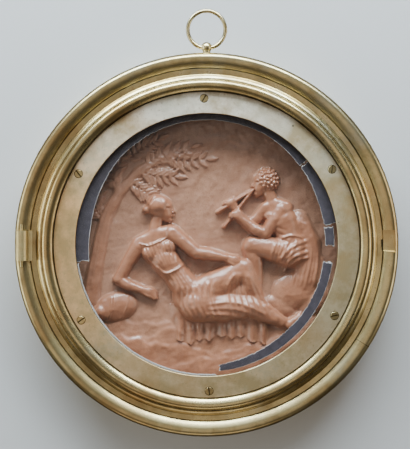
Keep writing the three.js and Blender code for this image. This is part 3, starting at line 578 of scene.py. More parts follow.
def pane_glass():
    """Clear old glass with a faint film on it."""
    colours = bpy.context.scene.plaque_finishes
    finish = Finish("pane_glass")
    film = finish.noise(finish.place, 30.0, 3.0, 0.6)
    rough = finish.maths("ADD", finish.maths("MULTIPLY", film, 0.05), 0.03)
    finish.plain(Base_Color=(*colours.glass, 1.0), Alpha=0.08, Specular_IOR_Level=0.4)
    finish.material.surface_render_method = "BLENDED"
    return finish.to_shader(Roughness=rough)


def gummed_paper():
    """Dark gummed paper; the strips' own attribute marks their torn, pale edges."""
    colours = bpy.context.scene.plaque_finishes
    finish = Finish("gummed_paper")
    torn = finish.node("ShaderNodeAttribute", attribute_name="torn").outputs["Fac"]
    mottle = finish.noise(finish.place, 160.0, 4.0, 0.65)
    fibre = finish.noise(finish.place, 1400.0, 3.0, 0.6)
    shade = finish.stain(colours.paper, mottle, (0.3, 0.0), (0.75, 1.0), scaled(colours.paper, 1.9))
    patches = finish.noise(finish.place, 55.0, 2.0, 0.5)
    ragged = finish.maths("ADD", torn, finish.maths("MULTIPLY", mottle, 0.35))
    ragged = finish.maths("ADD", ragged, finish.maths("MULTIPLY", patches, 1.1))
    core = finish.maths("SUBTRACT", ragged, 0.64)
    shade = finish.stain(shade, core, (0.62, 0.0), (0.90, 1.0), colours.torn_paper)
    normal = finish.bump(fibre, 0.35, 0.0002)
    finish.plain(Metallic=0.0, Roughness=0.62, Specular_IOR_Level=0.35)
    return finish.to_shader(Base_Color=shade, Normal=normal)


# --- the modelled surface of the relief -------------------------------------------------

FLANK = 8.0  # steepness of the side of a form below its widest line


def blended(a, b, reach):
    near = np.maximum(reach - np.abs(a - b), 0) / reach
    return np.maximum(a, b) + near * near * reach / 4


def eased(t):
    return t * t * (3 - 2 * t)


def spline(points, steps):
    """Evenly spread points on a smooth curve through the given ones."""
    p = np.array(points, float)
    p = np.vstack([2 * p[0] - p[1], p, 2 * p[-1] - p[-2]])
    t = np.linspace(0, len(p) - 3, steps + 1)
    i = np.minimum(t.astype(int), len(p) - 4)
    t = (t - i)[:, None]
    a, b, c, d = p[i], p[i + 1], p[i + 2], p[i + 3]
    return 0.5 * (2 * b + (c - a) * t + (2 * a - 5 * b + 4 * c - d) * t**2
                  + (3 * b - a - 3 * c + d) * t**3)


def along(x, y, start, end):
    """How far along a line each place is, from 0 to 1, and how far off it."""
    (ax, ay), (bx, by) = start, end
    dx, dy = bx - ax, by - ay
    t = np.clip(((x - ax) * dx + (y - ay) * dy) / max(dx * dx + dy * dy, 1e-9), 0, 1)
    return t, np.hypot(x - ax - t * dx, y - ay - t * dy)


def turned(x, y, turn):
    c, s = math.cos(math.radians(turn)), math.sin(math.radians(turn))
    return x * c + y * s, y * c - x * s


class Modelling:
    """Heights in millimetres over the relief's ground, built up and cut away like clay."""

    def __init__(self, half, step):
        self.line = np.linspace(-half, half, int(round(2 * half / step)) + 1)
        self.x, self.y = np.meshgrid(self.line, self.line)
        self.z = np.zeros_like(self.x)

    def window(self, points, reach):
        """The part of the surface within reach of some points, and its coordinates."""
        places = np.array([p[:2] for p in points])
        low = np.searchsorted(self.line, places.min(0) - reach)
        high = np.searchsorted(self.line, places.max(0) + reach)
        part = (slice(low[1], high[1]), slice(low[0], high[0]))
        return part, self.x[part], self.y[part]

    def limb(self, points, blend=2.0, flat=1.0):
        """A tapering round form through points of x, y, height of its axis, and radius."""
        part, x, y = self.window(points, max(p[3] for p in points) + 7)
        top = np.full_like(x, -99.0)
        for (ax, ay, az, ar), (bx, by, bz, br) in zip(points, points[1:]):
            t, away = along(x, y, (ax, ay), (bx, by))
            r = ar + (br - ar) * t
            dome = flat * np.sqrt(np.maximum(r * r - away * away, 0))
            top = np.maximum(top, az + (bz - az) * t + np.where(away < r, dome, (r - away) * FLANK))
        self.z[part] = blended(self.z[part], top, blend)

    def mound(self, centre, radii, turn=0.0, bulge=None, blend=2.0):
        cx, cy, cz = centre
        part, x, y = self.window([centre], max(radii) + 7)
        u, v = turned(x - cx, y - cy, turn)
        q = np.hypot(u / radii[0], v / radii[1])
        bulge = min(radii) if bulge is None else bulge
        top = cz + np.where(q < 1, bulge * np.sqrt(np.maximum(1 - q * q, 0)),
                            (1 - q) * min(radii) * FLANK)
        self.z[part] = blended(self.z[part], top, blend)

    def swells(self, seed, waves, size, height):
        """Slight unevenness such as a thumb leaves in clay, as many waves across one another."""
        draw = np.random.default_rng(seed)
        total = np.zeros_like(self.x)
        low, high = (0, 0, 0.7), (2 * math.pi, 2 * math.pi, 1.5)
        for turn, start, share in draw.uniform(low, high, (waves, 3)):
            across = self.x * math.cos(turn) + self.y * math.sin(turn)
            total += np.sin(2 * math.pi * across / (size * share) + start)
        self.z += height * total * math.sqrt(2 / waves)

    def hollow(self, centre, radii, turn, depth):
        part, x, y = self.window([centre], 2.2 * max(radii))
        u, v = turned(x - centre[0], y - centre[1], turn)
        self.z[part] -= depth * np.exp(-1.2 * ((u / radii[0])**2 + (v / radii[1])**2))

    def ridge(self, points, width, height, ends=0.15, steps=12):
        """A raised line along a curve, dying away toward both ends."""
        curve = spline(points, steps)
        part, x, y = self.window(curve, width + 1)
        near, place = np.full_like(x, 1e9), np.zeros_like(x)
        for i in range(steps):
            t, away = along(x, y, curve[i], curve[i + 1])
            place = np.where(away < near, (i + t) / steps, place)
            near = np.minimum(away, near)
        fade = np.clip(place / ends, 0, 1) * np.clip((1 - place) / ends, 0, 1)
        self.z[part] += height * eased(fade) * eased(np.clip(1 - near / width, 0, 1))

    def folds(self, first, last, count, width, height, phase=0.0, ends=0.15):
        """Folds of cloth spread from a first course to a last one."""
        first, last = np.array(first, float), np.array(last, float)
        for i in range(count):
            vary = math.cos(i * 2.4 + phase)
            course = first + (last - first) * (i + 0.5) / count
            self.ridge(course, width * (1 + 0.2 * vary), height * (0.75 + 0.25 * vary), ends)

    def leaf(self, x0, y0, turn, size, height, slim=0.2):
        part, x, y = self.window([(x0, y0)], size + 1)
        u, v = turned(x - x0, y - y0, turn)
        u, v = u / size, np.abs(v) / size
        half = slim * np.sin(np.pi * np.clip(u, 0, 1)**0.75) + 1e-6
        q = np.clip(v / half, 0, 1)
        top = height * (np.sqrt(1 - q * q) * 0.7 + 0.6 - 0.35 * np.clip(1 - q * 4, 0, 1))
        z = self.z[part]
        raised = np.maximum(z, np.minimum(z, height) * 0.4 + top)
        self.z[part] = np.where((u > 0) & (u < 1) & (v < half), raised, z)

    def curtain(self, top, drop, count, thick, depth):
        """Cloth hanging from a line of points, in folds that widen toward a wavy hem."""
        part, x, y = self.window(top + [(top[0][0], top[0][1] - drop * 1.4)], 4)
        xs, ys = zip(*top)
        u = (x - xs[0]) / (xs[-1] - xs[0])
        sway = np.cos(2 * np.pi * count * (u + 0.012 * np.sin(18 * u + y * 0.06)))
        edge = np.interp(x, xs, ys)
        hem = (edge - drop * (0.85 + 0.15 * np.sin(7 * u + 1.0)) - 0.9 * sway
               - 1.2 * np.cos(np.pi * count * u))
        t = (edge - y) / (edge - hem)
        side = np.clip(u / 0.1, 0, 1) * np.clip((1 - u) / 0.1, 0, 1)
        inside = (t > -0.3) & (t < 1) & (u > 0) & (u < 1)
        lip = np.clip(1 - np.abs(t - 0.985) / 0.03, 0, 1) * 0.5
        cloth = (thick + depth * sway * np.clip(t * 1.6, 0.15, 1)) * np.sqrt(np.maximum(side, 0))
        self.z[part] = blended(self.z[part], np.where(inside, cloth + lip, -9.0), 0.6)

    def hand(self, wrist, knuckle, z, curl=0.0, reach=11):
        """A hand with four fingers, bent by curl, and a thumb."""
        (x0, y0), (x1, y1) = wrist, knuckle
        a = math.atan2(y1 - y0, x1 - x0)
        c, s = math.cos(a), math.sin(a)
        self.limb([(x0, y0, z, 2.9), (x1, y1, z, 3.7)], 0.9, 0.75)
        for i, finger in enumerate((0.5, 0.62, 0.58, 0.46)):
            across = (i - 1.5) * 1.9
            x, y = x1 - across * s, y1 + across * c
            line = [(x, y, z + 0.8, 1.3)]
            for j, turn in enumerate((0.15, 0.6, 1.0)):
                x += reach * finger * 0.42 * math.cos(a + curl * turn)
                y += reach * finger * 0.42 * math.sin(a + curl * turn)
                line.append((x, y, z + 0.9 - 0.5 * j, 1.25 - 0.12 * j))
            self.limb(line, 0.3)
        self.limb([(x0 + 2 * s, y0 - 2 * c, z + 0.5, 1.6), (x1 + 3.6 * s, y1 - 3.6 * c, z + 1, 1.4),
                   (x1 + 4 * s + 3 * c, y1 - 4 * c + 3 * s, z + 0.4, 1.1)], 0.5)

    def foot(self, ankle, toe, z):
        """A foot with five toes."""
        (x0, y0), (x1, y1) = ankle, toe
        a = math.atan2(y1 - y0, x1 - x0)
        self.limb([(x0, y0, z + 0.5, 4.2), ((x0 + x1) / 2, (y0 + y1) / 2, z, 3.6),
                   (x1, y1, z - 1, 2.7)], 1)
        for i in range(5):
            across = (i - 2) * 1.2
            x, y = x1 - across * math.sin(a), y1 + across * math.cos(a)
            tip = (x + 3 * math.cos(a), y + 3 * math.sin(a), z - 1.2, 1.0)
            self.limb([(x, y, z - 0.8, 1.15), tip], 0.3)


class Head:
    """A head in profile, in units of its own height: u forward, v up from its middle."""

    def __init__(self, surface, place, z, height, tilt, face):
        self.surface, self.place, self.z, self.height = surface, place, z, height
        self.tilt, self.face = tilt, face

    def at(self, u, v):
        c, s = math.cos(math.radians(self.tilt)), math.sin(math.radians(self.tilt))
        return (self.place[0] + self.face * (u * c - v * s) * self.height,
                self.place[1] + (u * s + v * c) * self.height)

    def mound(self, u, v, z, ru, rv, bulge, turn=0, blend=0.05):
        h = self.height
        self.surface.mound((*self.at(u, v), self.z + z * h), (ru * h, rv * h),
                           self.face * (turn + self.tilt), bulge * h, blend * h)

    def limb(self, points, blend=0.05):
        h = self.height
        self.surface.limb([(*self.at(u, v), self.z + z * h, r * h) for u, v, z, r in points],
                          blend * h)

    def hollow(self, u, v, ru, rv, depth, turn=0):
        h = self.height
        self.surface.hollow(self.at(u, v), (ru * h, rv * h), self.face * (turn + self.tilt),
                            depth * h)

    def ridge(self, points, width, height, ends=0.15):
        self.surface.ridge([self.at(*p) for p in points], width * self.height,
                           height * self.height, ends)

    def features(self):
        self.mound(-0.06, 0.10, 0.0, 0.40, 0.37, 0.34)  # skull
        self.mound(0.14, 0.10, 0.02, 0.22, 0.27, 0.25, blend=0.08)  # forehead
        self.mound(0.13, -0.10, 0.0, 0.22, 0.30, 0.25, 10, 0.08)  # cheek
        self.limb([(-0.08, -0.20, 0.02, 0.12), (0.22, -0.38, 0.03, 0.09)], 0.08)  # jaw
        self.mound(0.265, -0.375, 0.05, 0.065, 0.06, 0.07, blend=0.06)  # chin
        self.limb([(0.30, 0.10, 0.05, 0.045), (0.335, 0.02, 0.06, 0.03),
                   (0.40, -0.105, 0.06, 0.03)], 0.03)  # nose
        self.mound(0.355, -0.125, 0.07, 0.045, 0.025, 0.04, blend=0.02)
        self.mound(0.318, -0.205, 0.04, 0.045, 0.018, 0.05, -14, 0.02)  # lips
        self.mound(0.308, -0.255, 0.04, 0.038, 0.02, 0.05, 8, 0.02)
        self.hollow(0.26, 0.03, 0.075, 0.045, 0.055, -8)  # eye
        self.mound(0.265, 0.018, 0.165, 0.042, 0.022, 0.035, -8, 0.01)
        self.ridge([(0.15, 0.085), (0.25, 0.105), (0.33, 0.075)], 0.035, 0.03, 0.3)
        self.ridge([(0.20, 0.04), (0.26, 0.055), (0.31, 0.03)], 0.02, 0.025, 0.3)
        self.hollow(0.30, -0.315, 0.05, 0.02, 0.03)

    def swept_hair(self):
        self.mound(-0.17, 0.15, 0.03, 0.36, 0.36, 0.35, 0, 0.02)
        self.mound(-0.52, 0.02, 0.02, 0.15, 0.14, 0.2, 0, 0.02)
        for i in range(10):
            t = i / 9
            self.ridge([(0.235 - 0.13 * t, 0.30 - 0.36 * t), (0.03 - 0.05 * t, 0.43 - 0.40 * t),
                        (-0.24, 0.33 - 0.34 * t), (-0.44, 0.08 - 0.08 * t)], 0.036, 0.05, 0.12)
        for i in range(5):
            a = i * 2 * math.pi / 5
            self.ridge([(-0.52 + 0.14 * math.cos(a), 0.02 + 0.13 * math.sin(a)),
                        (-0.52 + 0.08 * math.cos(a + 1.2), 0.02 + 0.08 * math.sin(a + 1.2)),
                        (-0.52, 0.02)], 0.035, 0.04, 0.2)
        self.ridge([(0.16, 0.42), (-0.08, 0.53), (-0.34, 0.38), (-0.46, 0.16)], 0.04, 0.07, 0.08)

    def curly_hair(self):
        self.mound(-0.13, 0.15, 0.03, 0.36, 0.36, 0.34, 0, 0.02)
        for ring, count in ((0.36, 15), (0.25, 11), (0.13, 6), (0.02, 1)):
            for i in range(count):
                a = 0.1 + 2 * math.pi * i / count + ring * 9
                u, v = -0.13 + ring * math.cos(a), 0.15 + ring * math.sin(a)
                if u <= 0.1 or v >= 0.16:
                    self.mound(u, v, 0.03 + 0.33 * math.sqrt(1 - (ring / 0.4)**2), 0.072, 0.058,
                               0.075, 60 * i, 0.012)


def model_ground(surface):
    """A gently uneven ground that rises below into a rocky bank, with boulders on the right."""
    x, y = surface.x, surface.y
    z = 0.35 * np.sin(x * 0.045 + 1) * np.cos(y * 0.05) + 0.15 * np.sin(x * 0.13 + y * 0.09)
    crest = -60 - 9 * np.sin((x + 20) * 0.025) + 3 * np.sin(x * 0.09)
    z += 3.0 / (1 + np.exp((y - crest) / 4.0))
    for i in range(4):
        step = -68 - 12 * i + 5 * np.sin(x * 0.045 + 2.1 * i) + 2.4 * np.sin(x * 0.12 + 5 * i)
        step += 1.1 * np.sin(x * 0.31 + i)
        z += 1.5 / (1 + np.exp((y - step) / 0.8))
    surface.z = z
    for cx, cy, a, b, turn, bulge in ((80, -42, 22, 17, 20, 6.5), (95, -24, 15, 20, 10, 6),
                                      (66, -56, 14, 10, -15, 5), (98, -52, 16, 12, 40, 5.5)):
        surface.mound((cx, cy, 1), (a, b), turn, bulge, 1.0)


def model_tree(surface):
    """A laurel on the left, its twigs set with leaves in pairs."""
    surface.limb([(-106, -50, 1, 9), (-100, -14, 1, 7), (-92, 22, 1, 6), (-80, 46, 1, 5),
                  (-62, 66, 0.6, 4), (-40, 80, 0.4, 2.6), (-18, 87, 0.2, 1.4)], 2, 0.6)
    surface.limb([(-80, 46, 1, 4), (-84, 62, 0.6, 2.5), (-74, 84, 0.3, 1.3)], 2, 0.6)
    surface.limb([(-62, 66, 0.6, 2.5), (-48, 62, 0.4, 1.8), (-28, 61, 0.2, 1.1)], 2, 0.6)
    surface.limb([(-93, 18, 0.6, 3), (-100, 30, 0.4, 2), (-98, 46, 0.2, 1.2)], 2, 0.6)
    surface.folds([(-111, -46), (-105, -12), (-97, 22), (-86, 46)],
                  [(-99, -46), (-93, -12), (-87, 22), (-76, 44)], 6, 1.6, 1.0)
    for twig in (((-80, 48), (-84, 62), (-74, 84)), ((-62, 66), (-48, 62), (-28, 61)),
                 ((-58, 70), (-42, 80), (-14, 88)), ((-40, 78), (-24, 76), (0, 77)),
                 ((-93, 22), (-100, 32), (-98, 48)), ((-72, 56), (-60, 50), (-50, 44)),
                 ((-74, 74), (-60, 86), (-44, 95))):
        curve = spline(twig, 7)
        for i in range(1, 8):
            dx, dy = curve[i] - curve[i - 1]
            way = math.degrees(math.atan2(dy, dx))
            for side in ((-1, 1) if i < 7 else (0,)):
                lean = side * (46 + 8 * math.sin(7 * i + side))
                surface.leaf(*curve[i], way + lean, 12 + 2 * math.sin(5 * i + side), 2.0)


def model_jar(surface):
    surface.mound((-82, -57, 2), (20, 13.5), 14, 9, 0.8)
    surface.limb([(-96, -61, 4, 7), (-103, -63, 4, 5.2)], 1)
    for i in (-7, -5, 8):
        surface.ridge([(-85 + i, -70.5 + i * 0.25), (-79.5 + i, -57 + i * 0.25),
                       (-78.6 + i, -43.5 + i * 0.25)], 0.9, 0.9, 0.1)


def model_reclining_woman(surface):
    """A draped woman lying on the bank with her elbow on a jar."""
    s = surface
    # cloth over the bank, the leaning arm and the raised far knee
    s.curtain([(-34, -58), (-22, -64), (-6, -66), (16, -66), (40, -64), (60, -68)], 25, 10, 7.6,
              1.7)
    model_jar(s)
    s.limb([(-63, -3, 5, 6.8), (-72, -17, 5.5, 5.5), (-80, -32, 6.5, 4.8)], 1.2)
    s.limb([(-80, -32, 7, 4.6), (-71, -37, 8, 4.6), (-58, -41, 8, 3.0)], 1.2)
    s.hand((-58, -41), (-52, -43), 8, curl=-0.5)
    s.limb([(-4, -44, 4, 15), (16, -33, 6, 12.5), (33, -22, 7, 9.4)], 3)
    s.limb([(33, -22, 7, 9.0), (41, -38, 6, 8.2), (51, -60, 4, 5.5)], 1.5)
    # trunk
    s.mound((-14, -47, 4), (17, 18), 30, 11, 3)
    s.limb([(-17, -41, 4, 13.5), (-28, -27, 4.5, 11), (-38, -14, 4.5, 12.5)], 3, 0.95)
    s.mound((-44, -4, 4), (16.5, 15), 120, 10, 3)
    s.limb([(-61, 0, 4.5, 7), (-48, 7, 4.5, 7.6), (-33, 11, 5.5, 7)], 2.5)
    s.mound((-51, -8, 7.5), (7.4, 7.0), 0, 7, 1.4)
    s.mound((-35.5, -2.5, 8), (7.6, 7.2), 0, 7.2, 1.4)
    # near leg, stretched out
    s.limb([(-8, -55, 6, 16), (14, -57, 7, 13.3), (38, -56, 8, 10.2)], 3)
    s.limb([(38, -56, 8, 9.8), (52, -62, 7.5, 8.6), (68, -70, 6, 5.2)], 1.5)
    s.foot((75, -72.5), (84, -66), 6)
    s.limb([(66, -69, 6, 4.6), (75, -72.5, 6, 3.9)], 1)
    s.limb([(10, -46, 5, 13), (34, -44, 5, 12), (50, -60, 4, 8)], 2.5, 0.6)
    # neck and head
    s.limb([(-48, 5, 5.5, 6.6), (-47, 13, 5.5, 5.4), (-45, 22, 5, 5.2)], 2)
    head = Head(s, (-40.5, 31.5), 6, 26, 3, 1)
    head.features()
    head.swept_hair()
    # bodice and its girdle
    s.folds([(-60, 0), (-56, -10), (-44, -24)], [(-30, 8), (-27, -4), (-25, -19)], 9, 1.7, 1.1,
            0, 0.12)
    s.ridge([(-62, 1), (-52, -1), (-42, 3), (-29, 9)], 1.5, 1.3, 0.1)
    s.ridge([(-46, -19), (-37, -26), (-26, -22), (-19, -16)], 2.0, 1.9, 0.1)
    s.folds([(-43, -25), (-37, -36), (-34, -50)], [(-22, -20), (-12, -32), (-4, -42)], 7, 2.0,
            1.2, 1, 0.2)
    # mantle over the legs
    s.folds([(-30, -38), (-28, -54), (-18, -69)], [(10, -30), (8, -48), (16, -69)], 7, 2.6, 1.8)
    s.folds([(26, -24), (16, -40), (20, -66)], [(37, -22), (51, -46), (60, -67)], 7, 2.5, 1.8, 1)
    s.folds([(-4, -64), (24, -67), (54, -74)], [(-4, -52), (28, -49), (60, -64)], 3, 2.4, 1.3,
            0, 0.2)
    # near arm, its hand on the knee
    s.limb([(-31, 10, 8, 7.0), (-21, 2, 9.5, 5.9), (-9, -8, 11, 5.0)], 1.2)
    s.limb([(-9, -8, 11, 4.8), (2, -9, 12, 4.7), (17, -12, 13, 3.0)], 1.2)
    s.hand((18, -12), (25, -14.5), 12.5, curl=-0.8)


def model_piper(surface):
    """A youth in a loincloth, seated on the right with two pipes."""
    s = surface
    # cloak behind, far arm and far shin
    s.limb([(84, 22, 1, 9), (93, 0, 1, 11), (92, -26, 1, 12), (84, -44, 1, 12)], 3, 0.55)
    s.folds([(80, 28), (84, 0), (74, -42)], [(91, 24), (102, -8), (98, -42)], 6, 2.6, 1.7)
    s.limb([(54, 32, 3, 5.8), (44, 22, 3.5, 4.8), (37, 19, 4, 4.2)], 1)
    s.limb([(37, 19, 4, 4.2), (30, 26, 4.5, 3.9), (25, 33, 5, 2.8)], 1)
    s.limb([(40, -3, 5, 8.0), (44, -18, 4, 7.2), (46, -40, 3, 5)], 1.5)
    # seat, thigh and trunk
    s.mound((78, -8, 3), (16, 14), 0, 9, 3)
    s.limb([(76, -8, 5, 12.5), (58, -4, 6, 10.6), (41, -1, 6.5, 8.0)], 2)
    s.limb([(77, -2, 3.5, 12.5), (73, 10, 4, 11.3), (69, 20, 4, 13)], 3, 0.9)
    s.mound((66, 25, 4), (15, 13.5), 115, 9, 3)
    s.limb([(54, 32, 4, 6.3), (62, 36, 4.5, 6.6), (71, 33, 5.5, 6.8)], 2.5)
    s.mound((59, 25, 8), (7, 5.2), -20, 4.4, 1.4)
    for i in range(3):
        s.hollow((64 + i * 3.0, 15 - i * 6.0), (6, 1.1), -18, 0.9)
    s.limb([(63, 33, 5, 6.4), (59, 40, 5, 5.4), (56, 48, 5, 5.2)], 1.5)
    head = Head(s, (51.5, 54.5), 5, 25, 3, -1)
    head.features()
    head.curly_hair()
    # the two pipes and the hands that hold them
    mouth = head.at(0.37, -0.235)
    s.limb([(*mouth, 8.5, 1.0), (10, 29, 6.5, 1.3)], 0.25)
    s.limb([(*mouth, 8.5, 1.0), (16, 16, 8.5, 1.3)], 0.25)
    s.hand((25, 33), (22.5, 37), 6.5, curl=1.4, reach=8)
    s.limb([(68, 31, 8, 6.8), (60, 20, 9.5, 5.8), (53, 9, 10, 4.8)], 1)
    s.mound((61.5, 21.5, 10), (8, 4.8), 55, 5.4, 1.4)
    s.limb([(53, 9, 10, 4.8), (43, 14, 10.5, 4.7), (31, 23, 10.5, 3.0)], 1)
    s.hand((31, 23), (27.5, 26.5), 10.5, curl=1.2, reach=8)
    # loincloth
    s.folds([(92, 6), (76, 0), (62, -16)], [(94, -14), (80, -18), (70, -28)], 4, 2.4, 1.7)
    s.folds([(62, 6), (58, -6), (56, -18)], [(84, 6), (76, -12), (72, -28)], 6, 2.2, 1.5)
    s.ridge([(66, 5), (76, 8), (88, 6)], 2.0, 1.6, 0.15)


def relief_mesh(sizes):
    """The disc: its modelled face on a square grid, its edge and its flat back."""
    rim, step = sizes.radius / MM, sizes.grid / MM
    surface = Modelling(rim + step, step)
    model_ground(surface)
    model_tree(surface)
    model_piper(surface)
    model_reclining_woman(surface)
    surface.swells(seed=5, waves=30, size=17, height=0.26)
    surface.swells(seed=6, waves=50, size=5.5, height=0.09)
    x, y = surface.x.ravel(), surface.y.ravel()
    depth = sizes.ground_depth / MM + sizes.modelling * surface.z.ravel()
    away = np.hypot(x, y)
    # points just outside the edge are drawn in onto it, and the rest are left out
    keep = away < rim + 0.75 * step
    pull = np.where(away > rim - 0.5 * step, rim / np.maximum(away, 1e-9), 1.0)
    count = len(surface.line)
    index = np.full(count * count, -1)
    index[keep] = np.arange(keep.sum())
    index = index.reshape(count, count)
    a, b, c, d = index[:-1, :-1], index[:-1, 1:], index[1:, 1:], index[1:, :-1]
    whole = (a >= 0) & (b >= 0) & (c >= 0) & (d >= 0)
    quads = np.stack([a[whole], b[whole], c[whole], d[whole]], 1)
    points = np.stack([x[keep] * pull[keep], -depth[keep], y[keep] * pull[keep]], 1) * MM
    mesh = bpy.data.meshes.new("relief")
    mesh.vertices.add(len(points))
    mesh.vertices.foreach_set("co", points.ravel())
    mesh.loops.add(quads.size)
    mesh.loops.foreach_set("vertex_index", quads.ravel())
    mesh.polygons.add(len(quads))
    mesh.polygons.foreach_set("loop_start", np.arange(0, quads.size, 4))
    mesh.update(calc_edges=True)
    with reshaping(mesh) as shape:
        loose = [v for v in shape.verts if not v.link_faces]
        bmesh.ops.delete(shape, geom=loose, context="VERTS")
        border = [e for e in shape.edges if e.is_boundary]
        skirt = bmesh.ops.extrude_edge_only(shape, edges=border)["geom"]
        low = {g for g in skirt if isinstance(g, bmesh.types.BMVert)}
        for vertex in low:
            vertex.co.y = -sizes.back_depth
        back = [g for g in skirt
                if isinstance(g, bmesh.types.BMEdge) and all(v in low for v in g.verts)]
        bmesh.ops.contextual_create(shape, geom=back)
        bmesh.ops.recalc_face_normals(shape, faces=shape.faces)
    smooth(mesh, 60)
    return mesh


# --- pieces -----------------------------------------------------------------------------

IN_FRONT = 0.05  # depth that is clear of the whole object
GLASS_GAP = 0.3 * MM  # between the pane and what holds it

def moulding(crest, depth, height, outer, inner, drop, steps=20):
    """Profile of a moulding: a quarter round outside its crest and a softer fall inside it."""
    outside = quarter((crest, depth), (outer - crest, height), 0, 90, steps)
    inside = [(crest - (crest - inner) * t, depth + height - drop * t * t)
              for t in np.linspace(0, 1, steps + 1)]
    return outside + inside[1:]


class PLAQUE_OT_case(bpy.types.Operator):
    """Turns the brass case, with its hinge recess, thumb notch and the ball for the ring"""

    bl_idname = "plaque.case"
    bl_label = "Case"

    def execute(self, context):
        s, hinge = context.scene.plaque_case, context.scene.plaque_hinge
        ring, relief = context.scene.plaque_ring, context.scene.plaque_relief
        inner, seat = s.drum_radius - s.drum_wall, relief.radius + 0.3 * MM
        roll = moulding(s.moulding_crest, s.moulding_depth, s.moulding_height, s.outer_radius,
                        s.rim_radius, s.moulding_drop)
        tuck = quarter((s.drum_radius, s.moulding_depth),
                       (s.outer_radius - s.drum_radius, s.tuck_height), -90, 0, 10)
        back, bevel, rim_of_seat = s.back_thickness, 1 * MM, seat + s.seat_thickness
        under_shelf, top_of_seat = s.shelf_depth - s.shelf_thickness, back + s.seat_height
        profile = [
            (0.0, 0.0), (s.drum_radius - bevel, 0.0), (s.drum_radius, bevel), *tuck, *roll[1:],
            (s.rim_radius, s.shelf_depth), (s.shelf_radius, s.shelf_depth),
            (s.shelf_radius, under_shelf), (inner, under_shelf), (inner, back),
            (rim_of_seat, back), (rim_of_seat, top_of_seat), (seat, top_of_seat), (seat, back),
            (0.0, back),
        ]
        # a dark line of dirt and painted shade in the gap round the bezel, and the dark joint of
        # the seam
        material = brass("case brass", 0.95, 0.30, dirt_and_shade_lines=[(s.rim_radius, 0.0005)], seam=s.seam)
        case = turned_piece("case", profile, material)
        combined(case, [self.hinge_recess(s, hinge), self.pin_hole(hinge), self.thumb_notch(s)])
        combined(case, [self.ball(ring, s)], "UNION")
        bore = rod_mesh(ring.bore_radius, 2 * ring.ball_radius, 32, "X")
        low = ring.ring_height - ring.ring_radius
        combined(case, [moved(bore, (0.0, -s.moulding_depth, low))])
        smooth(tidy_mesh(case.data))
        finish_piece(case, "case", "case_brass", "case_shell")
        return {"FINISHED"}

    def hinge_recess(self, s, hinge):
        half = hinge.barrel_length / 2 + hinge.clearance
        floor = hinge.axis_depth - hinge.barrel_radius - hinge.clearance
        return block_mesh((-s.outer_radius - MM, MM - s.rim_radius),
                          (-hinge.drop - half, half - hinge.drop), (floor, IN_FRONT))

    def pin_hole(self, hinge):
        rod = rod_mesh(hinge.pin_radius + 0.3 * MM, hinge.pin_length / 2 + 0.3 * MM, 24)
        return moved(rod, (-hinge.axis_x, -hinge.axis_depth, -hinge.drop))

    def thumb_notch(self, s):
        """A cut across the rim with a leaning floor, a step above and a slope below."""
        low, high, slope = s.notch_low, s.notch_high, 1.8 * MM
        over = s.moulding_depth + s.moulding_height + MM
        inside, outside = (s.rim_radius - MM, s.notch_inside), (s.drum_radius, s.notch_outside)
        points = [(x, -d, z) for x, floor in (inside, outside)
                  for z, d in ((-low, floor), (high, floor), (high, over), (-low - slope, over))]
        sides = [(i, i + 4, (i + 1) % 4 + 4, (i + 1) % 4) for i in range(4)]
        return tidy_mesh(mesh_of("notch", points, [(0, 1, 2, 3), (7, 6, 5, 4), *sides]))

    def ball(self, ring, s):
        """The ball on its short neck."""
        r = ring.ball_radius
        neck = [(0.0, -1.7 * r), (0.72 * r, -1.7 * r), (0.70 * r, -0.95 * r)]
        outline = [*neck, *quarter((0.0, 0.0), (r, r), -44, 90, 15)]
        outline[-1] = (0.0, r)
        mesh = bpy.data.meshes.new("ball")
        with reshaping(mesh) as shape:
            vertices = [shape.verts.new((x, 0.0, z)) for x, z in outline]
            edges = [shape.edges.new(pair) for pair in zip(vertices, vertices[1:])]
            bmesh.ops.spin(shape, geom=vertices + edges, cent=(0, 0, 0), axis=(0, 0, 1),
                           dvec=(0, 0, 0), angle=2 * math.pi, steps=32)
        return moved(tidy_mesh(mesh), (0.0, -s.moulding_depth, ring.ball_height))


class PLAQUE_OT_relief(bpy.types.Operator):
    """Models the terracotta disc: a reclining woman and a piper under a laurel"""

    bl_idname = "plaque.relief"
    bl_label = "Relief"

    def execute(self, context):
        piece = new_object("relief", relief_mesh(context.scene.plaque_relief), terracotta())
        finish_piece(piece, "case", "terracotta", "relief_disc")
        return {"FINISHED"}


